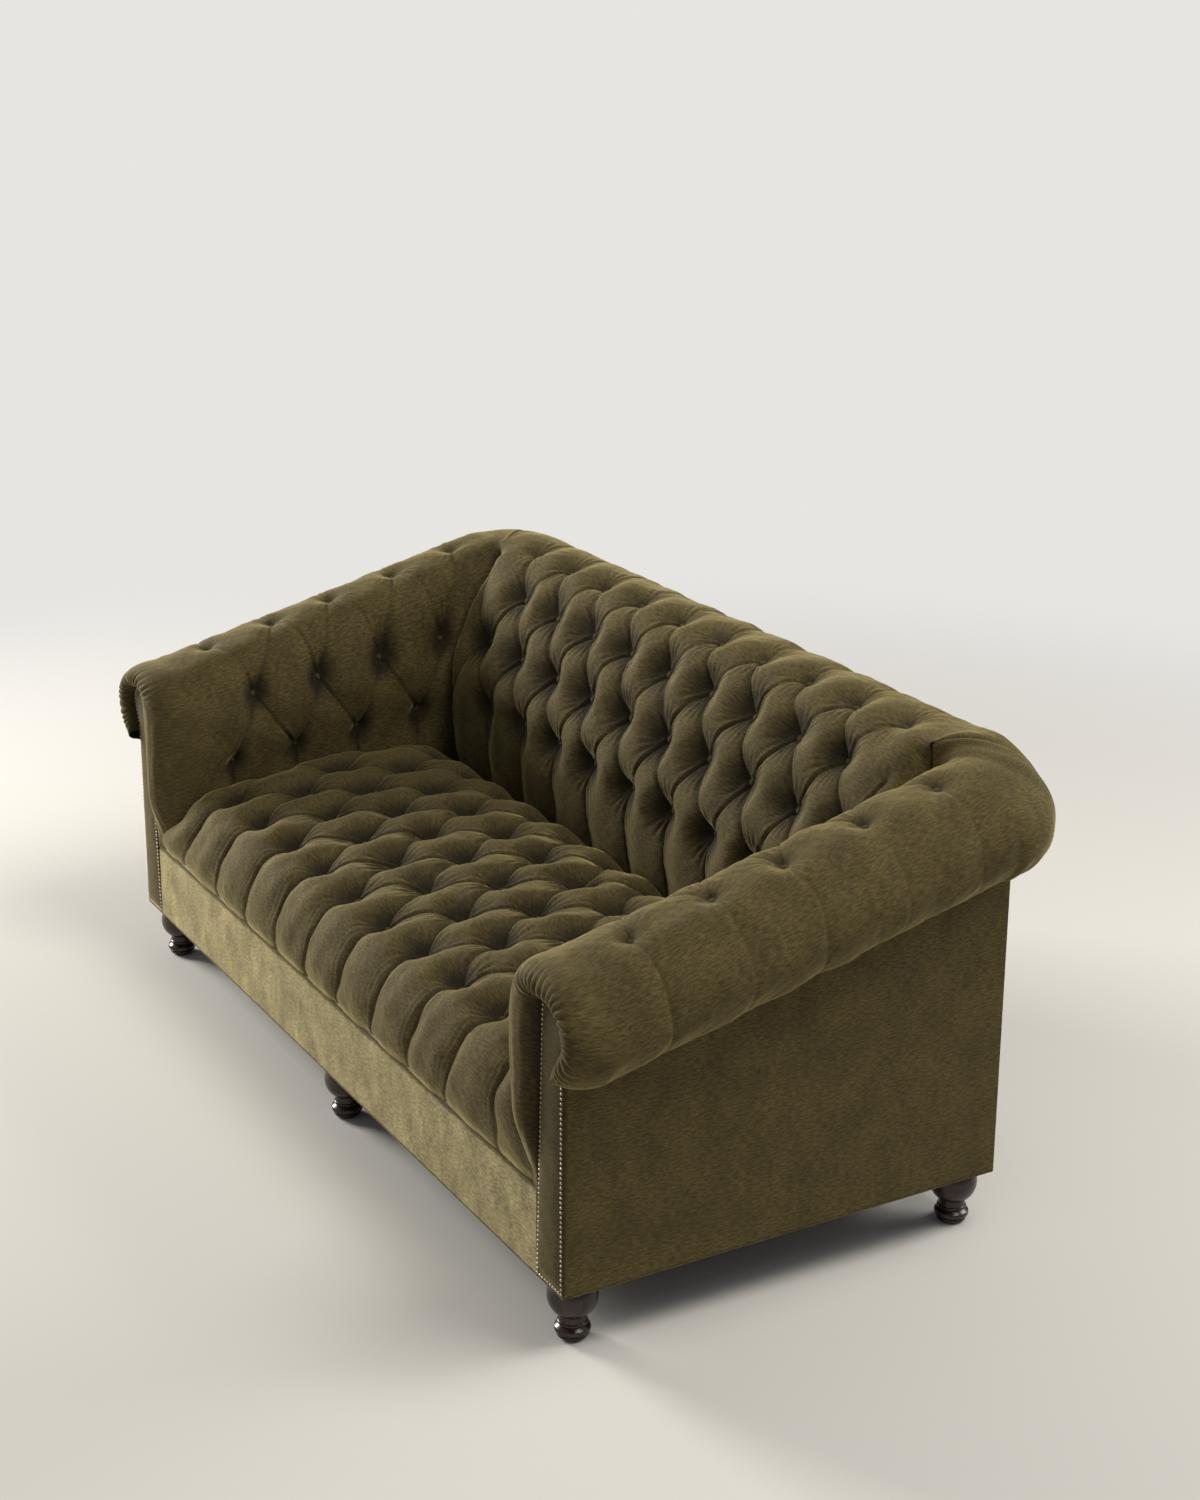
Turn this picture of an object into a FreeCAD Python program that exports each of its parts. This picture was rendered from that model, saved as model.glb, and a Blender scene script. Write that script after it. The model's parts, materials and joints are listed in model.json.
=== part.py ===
import FreeCAD, Part
import math
import os

# A three-seat chesterfield sofa with a tight tufted seat, a tufted rolled back that runs into two
# sloping rolled arms, nailed arm facings and six turned feet.
# Millimetres. X runs along the sofa, +X is the right arm as seen from the front, the front faces -Y
# and +Z is up. The origin is on the floor under the middle of the overall box.

Vector = FreeCAD.Vector
Rotation = FreeCAD.Rotation

doc = FreeCAD.newDocument("ChesterfieldSofa")

# Driving dimensions
values = {
    # body under the rolls
    "body_width": 2000,
    "body_depth": 920,
    "body_bottom": 119,
    "front_overhang": 24,
    "back_overhang": 150,
    "side_overhang": 90,
    # boards of the frame
    "board_thickness": 28,
    "rail_bottom": 122,
    "rail_height": 140,
    "post_width": 70,
    "back_post_depth": 44,
    "cover_thickness": 6,
    "facing_thickness": 8,
    "stretcher_height": 70,
    "centre_stretcher_width": 60,
    "stretcher_offset": 480,
    "corner_block_leg": 110,
    "corner_block_height": 40,
    "tack_rail_bottom": 300,
    "tack_rail_height": 50,
    "arm_rail_height": 40,
    "top_rail_height": 55,
    "upright_offset": 330,
    "dowel_radius": 5,
    "dowel_length": 56,
    "dowel_clearance": 0.15,
    # arms and their rolls
    "arm_thickness": 170,
    "roll_centre_inset": 55,
    "roll_inner_reach": 130,
    "roll_outer_reach": 145,
    "roll_half_height": 105,
    "roll_front_height": 598,
    "roll_slope": 0.243,
    "tuft_slope": 0.105,
    # inside back and its roll
    "back_pad_thickness": 158.2,
    "back_roll_setback": 19,
    "back_roll_reach": 131,
    "back_tuft_depth": 40,
    "arm_tuft_depth": 30,
    # seat
    "seat_crest_height": 497,
    "seat_crown": 34,
    "seat_tuft_depth": 40,
    "seat_back_gap": 8,
    "seat_side_clearance": 0.8,
    "first_row": 113,
    "row_pitch": 133,
    "tuft_pitch": 158,
    "welt_height": 284,
    "welt_radius": 3,
    # springs
    "spring_wire_radius": 1.9,
    "spring_half_width": 24,
    "spring_loop_radius": 11,
    "seat_spring_count": 9,
    "seat_spring_pitch": 185,
    "back_spring_count": 7,
    "back_spring_pitch": 230,
    "clip_width": 18,
    # small hardware
    "button_radius": 8,
    "nail_radius": 3.4,
    "nail_pitch": 9.2,
    "nail_edge": 4.5,
    "bolt_radius": 4,
    "bolt_length": 78,
    "bolt_clearance": 0.2,
    # turned feet
    "foot_inset_side": 63,
    "foot_inset_front": 55,
    "foot_inset_back": 43,
    "foot_ball_radius": 45.5,
    "foot_neck_radius": 23.5,
    "foot_base_radius": 32.5,
    "glide_height": 3,
    "glide_radius": 21,
    "fit_gap": 0.3,
}

sheet = doc.addObject("Spreadsheet::Sheet", "Sizes")
for row, (alias, number) in enumerate(values.items(), start=1):
    sheet.set("A%d" % row, alias.replace("_", " "))
    sheet.set("B%d" % row, str(number))
    sheet.setAlias("B%d" % row, alias)
doc.recompute()


class Size:
    # a length with its number and the sheet expression that gives it

    def __init__(self, text, number):
        self.text = text
        self.number = float(number)

    def joined(self, sign, other, number):
        text = other.text if isinstance(other, Size) else repr(other)
        return Size("(" + self.text + " " + sign + " " + text + ")", number)

    def __float__(self):
        return self.number

    def __add__(self, other):
        return self.joined("+", other, self.number + float(other))

    def __radd__(self, other):
        return self + other

    def __sub__(self, other):
        return self.joined("-", other, self.number - float(other))

    def __rsub__(self, other):
        return -self + other

    def __mul__(self, other):
        return self.joined("*", other, self.number * float(other))

    def __rmul__(self, other):
        return self * other

    def __truediv__(self, other):
        return self.joined("/", other, self.number / float(other))

    def __neg__(self):
        return self * -1


def size(alias):
    return Size("Sizes." + alias, sheet.get(alias))


def bind(item, prop, amount):
    if isinstance(amount, Size):
        item.setExpression(prop, amount.text)
    elif "." in prop:
        axis = prop.rsplit(".", 1)[1]
        place = item.Placement
        setattr(place.Base, axis, float(amount))
        item.Placement = place
    else:
        setattr(item, prop, float(amount))


# Places that many pieces share
half_width = size("body_width") / 2
body_depth = size("body_depth")
body_bottom = size("body_bottom")
board = size("board_thickness")
rail_bottom = size("rail_bottom")
rail_top = rail_bottom + size("rail_height")
cover = size("cover_thickness")
facing_depth = size("facing_thickness")
fit = size("fit_gap")
post_width = size("post_width")
back_post_depth = size("back_post_depth")
frame_half = half_width - cover
frame_front = facing_depth
frame_back = body_depth - cover
post_inner = frame_half - post_width
back_post_front = frame_back - back_post_depth
clear_half = half_width - size("arm_thickness")
welt_height = size("welt_height")
welt_radius = size("welt_radius")
slope = size("roll_slope")
front_plane = (size("front_overhang") - body_depth - size("back_overhang")) / 2

sides = (("left", -1), ("right", 1))
nodes = []


def depth(y):
    # a distance behind the facings' front as a place on the Y axis
    return y + front_plane


def keep(item, label):
    item.Label = label
    nodes.append(item)
    return item


def sided(side, start, length):
    # the lower X of a block that starts at that distance from the middle
    return start if side > 0 else -(start + length)


def box(label, length, width, height, x, y, z):
    item = doc.addObject("Part::Box", label)
    for prop, amount in (("Length", length), ("Width", width), ("Height", height)):
        bind(item, prop, amount)
    for axis, amount in (("x", x), ("y", depth(y)), ("z", z)):
        bind(item, "Placement.Base." + axis, amount)
    return item


axis_turns = {
    "x": Rotation(Vector(0, 1, 0), 90),
    "y": Rotation(Vector(1, 0, 0), -90),
    "z": Rotation(),
}


def rod(label, axis, radius, length, x, y, z):
    item = doc.addObject("Part::Cylinder", label)
    item.Placement = FreeCAD.Placement(Vector(), axis_turns[axis])
    bind(item, "Radius", radius)
    bind(item, "Height", length)
    for name, amount in (("x", x), ("y", depth(y)), ("z", z)):
        bind(item, "Placement.Base." + name, amount)
    return item


def drilled(base, holes, label):
    cutters = doc.addObject("Part::Compound", label + "_holes")
    cutters.Links = holes
    cut = doc.addObject("Part::Cut", label)
    cut.Base = base
    cut.Tool = cutters
    return cut


def shape_node(label, shape):
    item = doc.addObject("Part::Feature", label)
    item.Shape = shape
    item.Placement = shape.Placement
    return keep(item, label)


def moved(shape, x, y, z):
    return shape.translated(Vector(float(x), float(depth(y)), float(z)))


def origin_plane(body, role):
    return next(part for part in body.Origin.OriginFeatures if part.Role == role)


def sketched(label, role, outline, circles=()):
    # a body with a sketch on one of its planes, where three points in an outline entry are an arc
    body = doc.addObject("PartDesign::Body", label)
    sketch = body.newObject("Sketcher::SketchObject", label + "_sketch")
    sketch.AttachmentSupport = [(origin_plane(body, role), "")]
    sketch.MapMode = "FlatFace"
    points = [[Vector(x, y, 0) for x, y in entry] for entry in outline]
    for entry in points:
        sketch.addGeometry(Part.Arc(*entry) if len(entry) == 3 else Part.LineSegment(*entry))
    for x, y, radius in circles:
        sketch.addGeometry(Part.Circle(Vector(x, y, 0), Vector(0, 0, 1), radius))
    return body, sketch


def padded(label, role, outline, length, circles=(), reverse=True):
    body, sketch = sketched(label, role, outline, circles)
    pad = body.newObject("PartDesign::Pad", label + "_pad")
    pad.Profile = sketch
    pad.Reversed = reverse
    bind(pad, "Length", length)
    sketch.Visibility = False
    return body


def chain(points):
    # straight outline entries through the points and back to the first
    return [(here, there) for here, there in zip(points, points[1:] + points[:1])]


def mirrored_outline(outline, side):
    return [tuple((x * side, y) for x, y in entry) for entry in outline]


def mirrored(shape, side):
    return shape if side > 0 else shape.mirror(Vector(), Vector(1, 0, 0))


def copies(shapes):
    return Part.makeCompound(shapes)


# Dowelled hardwood frame
dowel_radius = size("dowel_radius")
dowel_hole = dowel_radius + size("dowel_clearance")
dowel_length = size("dowel_length")
dowel_play = 0.2
dowel_levels = (rail_bottom + size("rail_height") * 0.25, rail_bottom + size("rail_height") * 0.75)
dowel_joints = []


def dowel_holes(label, axis, x, y):
    # a pair of holes centred on the joint between a rail and a post
    holes = []
    for z in dowel_levels:
        name = "%s_%s_hole_%d" % (label, axis, len(holes))
        start_x = x - dowel_length / 2 if axis == "x" else x
        start_y = y - dowel_length / 2 if axis == "y" else y
        holes.append(rod(name, axis, dowel_hole, dowel_length, start_x, start_y, z))
    return holes


front_rail_mid = frame_front + board / 2
back_rail_mid = frame_back - board / 2
side_rail_mid = frame_half - board / 2
side_rail_front = frame_front + board
rail_height = rail_top - rail_bottom


def long_rail(label, y, mid):
    base = box(label + "_board", post_inner * 2, board, rail_height, -post_inner, y, rail_bottom)
    holes = []
    for side_name, side in sides:
        holes += dowel_holes(label + "_" + side_name, "x", post_inner * side, mid)
        dowel_joints.append(("x", post_inner * side, mid))
    keep(drilled(base, holes, label), label)


long_rail("front_seat_rail", frame_front, front_rail_mid)
long_rail("back_seat_rail", frame_back - board, back_rail_mid)

for side_name, side in sides:
    label = side_name + "_seat_rail"
    run = back_post_front - side_rail_front
    low_x = sided(side, frame_half - board, board)
    base = box(label + "_board", board, run, rail_height, low_x, side_rail_front, rail_bottom)
    holes = []
    for end_name, joint in (("front", side_rail_front), ("back", back_post_front)):
        holes += dowel_holes(label + "_" + end_name, "y", side_rail_mid * side, joint)
        dowel_joints.append(("y", side_rail_mid * side, joint))
    keep(drilled(base, holes, label), label)

dowel_pins = []
for axis, x, y in dowel_joints:
    direction = axis_turns[axis].multVec(Vector(0, 0, 1))
    length = float(dowel_length) - 2 * dowel_play
    for z in dowel_levels:
        pin = Part.makeCylinder(float(dowel_radius), length, direction * (-length / 2), direction)
        dowel_pins.append(moved(pin, x, y, z))
shape_node("frame_dowels", copies(dowel_pins))

# Stretchers and corner blocks under the seat, drilled for the bolts of the feet
bolt_hole = size("bolt_radius") + size("bolt_clearance")
block_height = size("corner_block_height")
foot_x = half_width - size("foot_inset_side")
front_foot_y = size("foot_inset_front")
back_foot_y = body_depth - size("foot_inset_back")
foot_places = [
    ("%s_%s_foot" % (row_name, column_name), foot_x * column, y)
    for row_name, y in (("front", front_foot_y), ("back", back_foot_y))
    for column_name, column in (("left", -1), ("middle", 0), ("right", 1))
]


def bolt_hole_rod(label, x, y, height):
    return rod(label + "_bolt_hole", "z", bolt_hole, height, x, y, rail_bottom)


centre_width = size("centre_stretcher_width")
stretcher_height = size("stretcher_height")
stretcher_front = frame_front + board
stretcher_run = frame_back - board - stretcher_front
centre_board = box(
    "centre_board", centre_width, stretcher_run, stretcher_height,
    -centre_width / 2, stretcher_front, rail_bottom,
)
centre_holes = [bolt_hole_rod("centre_front", 0, front_foot_y, block_height)]
centre_holes.append(bolt_hole_rod("centre_back", 0, back_foot_y, block_height))
keep(drilled(centre_board, centre_holes, "centre_stretcher"), "centre_stretcher")

pair = doc.addObject("Part::Compound", "side_stretchers")
pair.Links = [
    box(side_name + "_stretcher", board, stretcher_run, stretcher_height,
        sided(side, size("stretcher_offset"), board), stretcher_front, rail_bottom)
    for side_name, side in sides
]
keep(pair, "side_stretchers")


def corner_block(side, corner_y, inward):
    # a triangular block glued into the corner between two rails
    leg = float(size("corner_block_leg"))
    corner_x = float(frame_half - board)
    points = [(corner_x, corner_y), (corner_x - leg, corner_y), (corner_x, corner_y + inward * leg)]
    corners = [Vector(x * side, y + float(front_plane), float(rail_bottom)) for x, y in points]
    face = Part.Face(Part.makePolygon(corners + corners[:1]))
    return face.extrude(Vector(0, 0, float(block_height)))


blocks = []
for side_name, side in sides:
    front_block = corner_block(side, float(stretcher_front), 1)
    hole = Part.makeCylinder(float(bolt_hole), float(block_height))
    blocks.append(front_block.cut(moved(hole, foot_x * side, front_foot_y, rail_bottom)))
    blocks.append(corner_block(side, float(back_post_front), -1))
shape_node("corner_blocks", copies(blocks))

# Front posts and nailed facings, each a straight shaft under a scroll head that leans outwards
head_top = float(size("roll_front_height") + size("roll_half_height") * 0.55)
head_reach = float(half_width + size("side_overhang") / 4)
panel_bottom = float(rail_bottom) + 0.5
facing_low_x = float(half_width) - 92
facing_high_x = float(half_width) - 72


def head_outline(low_x, high_x, outer, low_z, inset):
    # drawn in X and Z for the right side, where the inset moves the scroll's edge inwards
    top = head_top - inset
    reach = head_reach - inset
    shoulder = (low_x, low_z), (high_x, top - 12)
    crown = (high_x, top - 12), (high_x + 3.5, top - 3.5), (high_x + 12, top)
    flat = (high_x + 12, top), (outer - 32, top)
    brow = (outer - 32, top), (reach - 14, top - 11), (reach, top - 37)
    neck = (reach, top - 37), (outer + (reach - outer) * 0.62, top - 67), (outer, top - 94)
    shaft = (outer, top - 94), (outer, low_z)
    foot = (outer, low_z), (low_x, low_z)
    return [shoulder, crown, flat, brow, neck, shaft, foot]


for side_name, side in sides:
    label = side_name + "_front_post"
    post_low_x = float(post_inner)
    outline = head_outline(post_low_x, post_low_x + 8, float(frame_half), float(rail_bottom), 6)
    post = padded(label + "_board", "XZ_Plane", mirrored_outline(outline, side), board)
    bind(post, "Placement.Base.y", depth(frame_front))
    holes = dowel_holes(label + "_front", "x", post_inner * side, front_rail_mid)
    holes += dowel_holes(label + "_side", "y", side_rail_mid * side, side_rail_front)
    keep(drilled(post, holes, label), label)

# Nails stand along the whole edge of each facing, with their shanks in drilled holes
nail_radius = float(size("nail_radius"))
nail_shank = 0.9
nail_hole = nail_shank + 0.15
nail_shank_length = float(facing_depth) - 1.2
nail_dome = 2.3
facing_outline = head_outline(facing_low_x, facing_high_x, float(half_width) - 0.5, panel_bottom, 0)


def outline_wire(outline):
    edges = []
    for entry in outline:
        points = [Vector(x, 0, z) for x, z in entry]
        shape = Part.Arc(*points) if len(points) == 3 else Part.LineSegment(*points)
        edges.append(shape.toShape())
    return Part.Wire(edges)


nail_line = Part.Face(outline_wire(facing_outline)).makeOffset2D(-float(size("nail_edge"))).OuterWire
nail_count = round(nail_line.Length / float(size("nail_pitch")))
nail_places = [(point.x, point.z) for point in nail_line.discretize(Number=nail_count + 1)[:-1]]


def nail():
    # a domed head on the XZ plane with its shank towards +Y
    curve = (nail_radius ** 2 + nail_dome ** 2) / (2 * nail_dome)
    ball = Part.makeSphere(curve, Vector(0, curve - nail_dome, 0))
    slab = Part.makeBox(20, nail_dome, 20, Vector(-10, -nail_dome, -10))
    shank = Part.makeCylinder(nail_shank, nail_shank_length, Vector(), Vector(0, 1, 0))
    return ball.common(slab).fuse(shank)


nail_shape = nail()
for side_name, side in sides:
    label = side_name + "_arm_facing"
    circles = [(x * side, z, nail_hole) for x, z in nail_places]
    facing = padded(label, "XZ_Plane", mirrored_outline(facing_outline, side), facing_depth, circles)
    bind(facing, "Placement.Base.y", depth(0))
    keep(facing, label)
    heads = [moved(nail_shape, x * side, 0, z) for x, z in nail_places]
    shape_node(side_name + "_arm_nails", copies(heads))

# Back posts, uprights, tacking rails and the rail that carries the back roll
back_roll_y = float(body_depth + size("back_roll_setback"))
back_roll_z = size("roll_front_height") + slope * (body_depth + size("back_roll_setback"))
top_rail_low = back_roll_z - size("roll_half_height") - 6
top_rail_height = size("top_rail_height")
top_rail_top = top_rail_low + top_rail_height
for side_name, side in sides:
    label = side_name + "_back_post"
    low_x = sided(side, post_inner, post_width)
    base = box(
        label + "_board", post_width, back_post_depth, top_rail_low - rail_bottom,
        low_x, back_post_front, rail_bottom,
    )
    holes = dowel_holes(label + "_back", "x", post_inner * side, back_rail_mid)
    holes += dowel_holes(label + "_side", "y", side_rail_mid * side, back_post_front)
    holes.append(bolt_hole_rod(label, foot_x * side, back_foot_y, block_height))
    keep(drilled(base, holes, label), label)

tack_low = size("tack_rail_bottom")
tack_height = size("tack_rail_height")
tack_top = tack_low + tack_height
keep(
    box("back_tack_rail", post_inner * 2, back_post_depth, tack_height, -post_inner, back_post_front, tack_low),
    "back_tack_rail",
)
uprights = doc.addObject("Part::Compound", "back_uprights")
uprights.Links = [
    box(side_name + "_upright", board, back_post_depth, top_rail_low - tack_top,
        sided(side, size("upright_offset"), board), back_post_front, tack_top)
    for side_name, side in sides
]
keep(uprights, "back_uprights")
keep(
    box("back_top_rail", frame_half * 2, back_post_depth, top_rail_height,
        -frame_half, back_post_front, top_rail_low),
    "back_top_rail",
)

arm_rail_low = size("roll_front_height") - size("roll_half_height") / 2
rise = float(slope)


def sloped_wire(outline, y):
    # an outline in X and Z at one place along the slope of the arm
    edges = []
    for entry in outline:
        points = [Vector(x, y, z + rise * y) for x, z in entry]
        shape = Part.Arc(*points) if len(points) == 3 else Part.LineSegment(*points)
        edges.append(shape.toShape())
    return Part.Wire(edges)


def sloped_bar(outline, side, start_y, end_y):
    wires = [sloped_wire(outline, float(start_y)), sloped_wire(outline, float(end_y))]
    bar = Part.makeLoft(wires, True, True).translated(Vector(0, float(front_plane), 0))
    return mirrored(bar, side)


rail_inner = float(post_inner)
rail_outer = float(frame_half)
rail_low_z = float(arm_rail_low)
rail_high_z = rail_low_z + float(size("arm_rail_height"))
arm_rail_outline = chain([
    (rail_inner, rail_low_z), (rail_outer, rail_low_z), (rail_outer, rail_high_z), (rail_inner, rail_high_z),
])
for side_name, side in sides:
    rail = sloped_bar(arm_rail_outline, side, side_rail_front, back_post_front)
    shape_node(side_name + "_arm_rail", rail)
    label = side_name + "_arm_tack_rail"
    low_x = sided(side, post_inner, board)
    tack_run = back_post_front - side_rail_front
    keep(box(label, board, tack_run, tack_height, low_x, side_rail_front, tack_low), label)

# Zigzag springs, each bent from one wire, and the clips that hold their ends
wire_radius = float(size("spring_wire_radius"))
spring_half = float(size("spring_half_width"))
loop_radius = float(size("spring_loop_radius"))
clip_width = float(size("clip_width"))
clip_depth = 24
clip_gauge = 1.5
clip_play = 0.3
clip_mouth = clip_gauge + 2 * (wire_radius + clip_play)
clip_height = clip_mouth + clip_gauge
spring_lift = clip_gauge + clip_play + wire_radius


def spring(run):
    # straight ends and half-turn bends joined by short straights, lying along Y
    swing = spring_half - loop_radius
    turns = int((run - 4 * loop_radius) // (2 * loop_radius))
    if turns % 2 == 0:
        turns -= 1
    y = (run - turns * 2 * loop_radius) / 2
    bow = loop_radius * (1 - math.sqrt(0.5))
    knee = Vector(loop_radius, y, 0)
    first = Vector(0, y - loop_radius, 0)
    edges = [Part.LineSegment(Vector(), first), Part.Arc(first, Vector(bow, y - bow, 0), knee)]
    side = 1
    for turn in range(turns):
        bend_start = Vector(side * swing, y, 0)
        bend_end = Vector(side * swing, y + 2 * loop_radius, 0)
        bend = Vector(side * (swing + loop_radius), y + loop_radius, 0)
        edges += [Part.LineSegment(knee, bend_start), Part.Arc(bend_start, bend, bend_end)]
        knee = bend_end
        y += 2 * loop_radius
        side = -side
    last = Vector(loop_radius, y, 0)
    close = Vector(0, y + loop_radius, 0)
    edges += [Part.LineSegment(knee, last), Part.Arc(last, Vector(bow, y + bow, 0), close)]
    edges.append(Part.LineSegment(close, Vector(0, run, 0)))
    path = Part.Wire([edge.toShape() for edge in edges])
    circle = Part.Wire(Part.makeCircle(wire_radius, Vector(), Vector(0, 1, 0)))
    return path.makePipeShell([circle], True, False)


def clip():
    # a strap folded over the wire, lying on the XY plane with its mouth towards +Y
    lip = clip_depth * 0.7
    profile = [
        (0, 0), (clip_depth, 0), (clip_depth, clip_gauge), (clip_gauge, clip_gauge),
        (clip_gauge, clip_mouth), (lip, clip_mouth), (lip, clip_height), (0, clip_height),
    ]
    points = [Vector(-clip_width / 2, y, z) for y, z in profile]
    return Part.Face(Part.makePolygon(points + points[:1])).extrude(Vector(clip_width, 0, 0))


def spread(count, pitch):
    return [(index - (count - 1) / 2) * pitch for index in range(count)]


def stood_up(shape):
    # what lay on the XY plane along Y now stands along Z and faces the front
    return shape.rotated(Vector(), Vector(1, 0, 0), 90)


clips = []
clip_margin = 2
end_gap = 2
seat_start = float(frame_front) + clip_margin
seat_end = float(frame_back) - clip_margin
seat_spring = spring(seat_end - seat_start - 2 * end_gap)
far_clip = clip().mirror(Vector(), Vector(0, 1, 0))
seat_springs = []
for x in spread(int(size("seat_spring_count").number), float(size("seat_spring_pitch"))):
    seat_springs.append(moved(seat_spring, x, seat_start + end_gap, rail_top + spring_lift))
    clips.append(moved(clip(), x, seat_start, rail_top))
    clips.append(moved(far_clip, x, seat_end, rail_top))
shape_node("seat_springs", copies(seat_springs))

back_low = float(tack_low) + clip_margin
back_high = float(top_rail_top) - clip_margin
back_spring = stood_up(spring(back_high - back_low - 2 * end_gap))
back_springs = []
for x in spread(int(size("back_spring_count").number), float(size("back_spring_pitch"))):
    back_springs.append(moved(back_spring, x, back_post_front - spring_lift, back_low + end_gap))
    clips.append(moved(stood_up(clip()), x, back_post_front, back_low))
    clips.append(moved(stood_up(far_clip), x, back_post_front, back_high))
shape_node("back_springs", copies(back_springs))
shape_node("spring_clips", copies(clips))

# Burlap, foam and the roll cores under the cover
burlap = 1.5
seat_burlap_z = rail_top + clip_height + fit
burlap_run = back_post_front - frame_front - 6
keep(
    box("seat_burlap", post_inner * 2 - 8, burlap_run, burlap, -post_inner + 4, frame_front + 2, seat_burlap_z),
    "seat_burlap",
)
seat_fill_z = float(seat_burlap_z) + burlap + 0.3
back_burlap_y = float(back_post_front) - clip_height - 0.3 - burlap
keep(
    box("back_burlap", post_inner * 2 - 8, burlap, top_rail_top - tack_low - 9,
        -post_inner + 4, back_burlap_y, tack_low + 2),
    "back_burlap",
)
arm_burlap_x = float(post_inner) - 1.8
arm_burlaps = []
for side_name, side in sides:
    front_y = float(side_rail_front) + 2
    back_y = back_burlap_y - 2
    low_z = float(tack_low) + 2
    profile = [
        (front_y, low_z), (back_y, low_z),
        (back_y, rail_high_z - 4 + rise * back_y), (front_y, rail_high_z - 4 + rise * front_y),
    ]
    corners = [Vector(arm_burlap_x, y + float(front_plane), z) for y, z in profile]
    sheet_face = Part.Face(Part.makePolygon(corners + corners[:1]))
    arm_burlaps.append(mirrored(sheet_face.extrude(Vector(burlap, 0, 0)), side))
shape_node("arm_burlaps", copies(arm_burlaps))

back_inner = back_burlap_y - 0.6
bottom_y = back_inner - float(size("back_pad_thickness"))
seat_depth = bottom_y - float(size("seat_back_gap"))
seat_half = clear_half - size("seat_side_clearance")
seat_low_z = float(welt_height) + float(welt_radius) + 0.6
seat_foam_top = 371.5
edge_back = 45
keep(
    box("front_edge_roll", seat_half * 2, edge_back - 3 - frame_front, seat_low_z - 0.4 - seat_fill_z,
        -seat_half, frame_front + 2, seat_fill_z),
    "front_edge_roll",
)
keep(
    box("seat_foam", seat_half * 2, seat_depth - edge_back - 3, seat_foam_top - seat_fill_z,
        -seat_half, edge_back + 0.5, seat_fill_z),
    "seat_foam",
)

core_low = rail_high_z + 0.3
arm_core_outline = [
    ((rail_inner + 6, core_low), (rail_inner + 6, core_low + 32)),
    ((rail_inner + 6, core_low + 32), (rail_inner + 40, core_low + 66), (rail_inner + 74, core_low + 32)),
    ((rail_inner + 74, core_low + 32), (rail_inner + 74, core_low)),
    ((rail_inner + 74, core_low), (rail_inner + 6, core_low)),
]
for side_name, side in sides:
    core = sloped_bar(arm_core_outline, side, side_rail_front + 1, back_burlap_y - 2)
    shape_node(side_name + "_arm_roll_core", core)

core_y = back_roll_y - 4
core_z = float(top_rail_top) + 0.4
core_reach = 66
core_rise = 78
core_outline = [
    ((core_y - core_reach, core_z), (core_y, core_z + core_rise), (core_y + core_reach, core_z)),
    ((core_y + core_reach, core_z), (core_y - core_reach, core_z)),
]
core = padded("back_roll_core", "YZ_Plane", core_outline, seat_half * 2, reverse=False)
bind(core, "Placement.Base.x", -seat_half)
bind(core, "Placement.Base.y", front_plane)
keep(core, "back_roll_core")

# Tufted covers with their stuffing: rows of stations, where each row is a chain of arcs that meet
# in a sewn valley and rise to a crest between two valleys
pitch = float(size("tuft_pitch"))
half_pitch = pitch / 2


def bulged(start, end, place):
    # a stretch of a row, level at its higher end and steep at its lower end
    width = abs(end[0] - start[0])
    drop = abs(end[1] - start[1])
    if drop < 0.5 or drop > width:
        return Part.LineSegment(place(*start), place(*end)).toShape()
    crest = start if start[1] > end[1] else end
    other = end if crest is start else start
    radius = (width ** 2 + drop ** 2) / (2 * drop)
    half_angle = math.asin(width / radius) / 2
    toward = 1 if other[0] > crest[0] else -1
    middle = (
        crest[0] + toward * radius * math.sin(half_angle),
        crest[1] - radius + radius * math.cos(half_angle),
    )
    return Part.Arc(place(*start), place(*middle), place(*end)).toShape()


def station(inner, outer, along, stations):
    # a closed section from the inner line out to the row of valleys and crests
    out = (outer - inner).normalize()

    def place(t, h):
        return outer + along * t + out * h

    first = inner + along * stations[0][0]
    last = inner + along * stations[-1][0]
    edges = [Part.LineSegment(first, place(*stations[0])).toShape()]
    edges += [bulged(start, end, place) for start, end in zip(stations, stations[1:])]
    edges.append(Part.LineSegment(place(*stations[-1]), last).toShape())
    edges.append(Part.LineSegment(last, first).toShape())
    return Part.Wire(edges)


def across(count, tuft_depth, odd_valleys, edge, edge_drop, edge_width):
    # the row of a seat or back: valleys at every other half pitch and rounded ends
    row = []
    for index in range(-count, count + 1):
        valley = (index % 2 == 1) == odd_valleys
        row.append((index * half_pitch, -tuft_depth if valley else 0.0))
    end = [(edge - edge_width, 0.0), (edge, -edge_drop)]
    return [(-t, h) for t, h in reversed(end)] + row + end


x_axis = Vector(1, 0, 0)


def lateral_wire(inner, outer, row):
    inner_point = Vector(0, inner[0] + float(front_plane), inner[1])
    outer_point = Vector(0, outer[0] + float(front_plane), outer[1])
    return station(inner_point, outer_point, x_axis, row)


clear = float(clear_half)
half_count = int((clear - 60) // half_pitch)
seat_edge = float(seat_half)
first_row = float(size("first_row"))
row_pitch = float(size("row_pitch"))
seat_top = float(size("seat_crest_height"))
seat_crown = float(size("seat_crown"))
seat_dip = float(size("seat_tuft_depth"))
crown_y = first_row + 2.4 * row_pitch
fill_top = seat_foam_top + 0.5


def seat_crest(y):
    return seat_top - seat_crown * ((y - crown_y) / (2.4 * row_pitch)) ** 2


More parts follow.
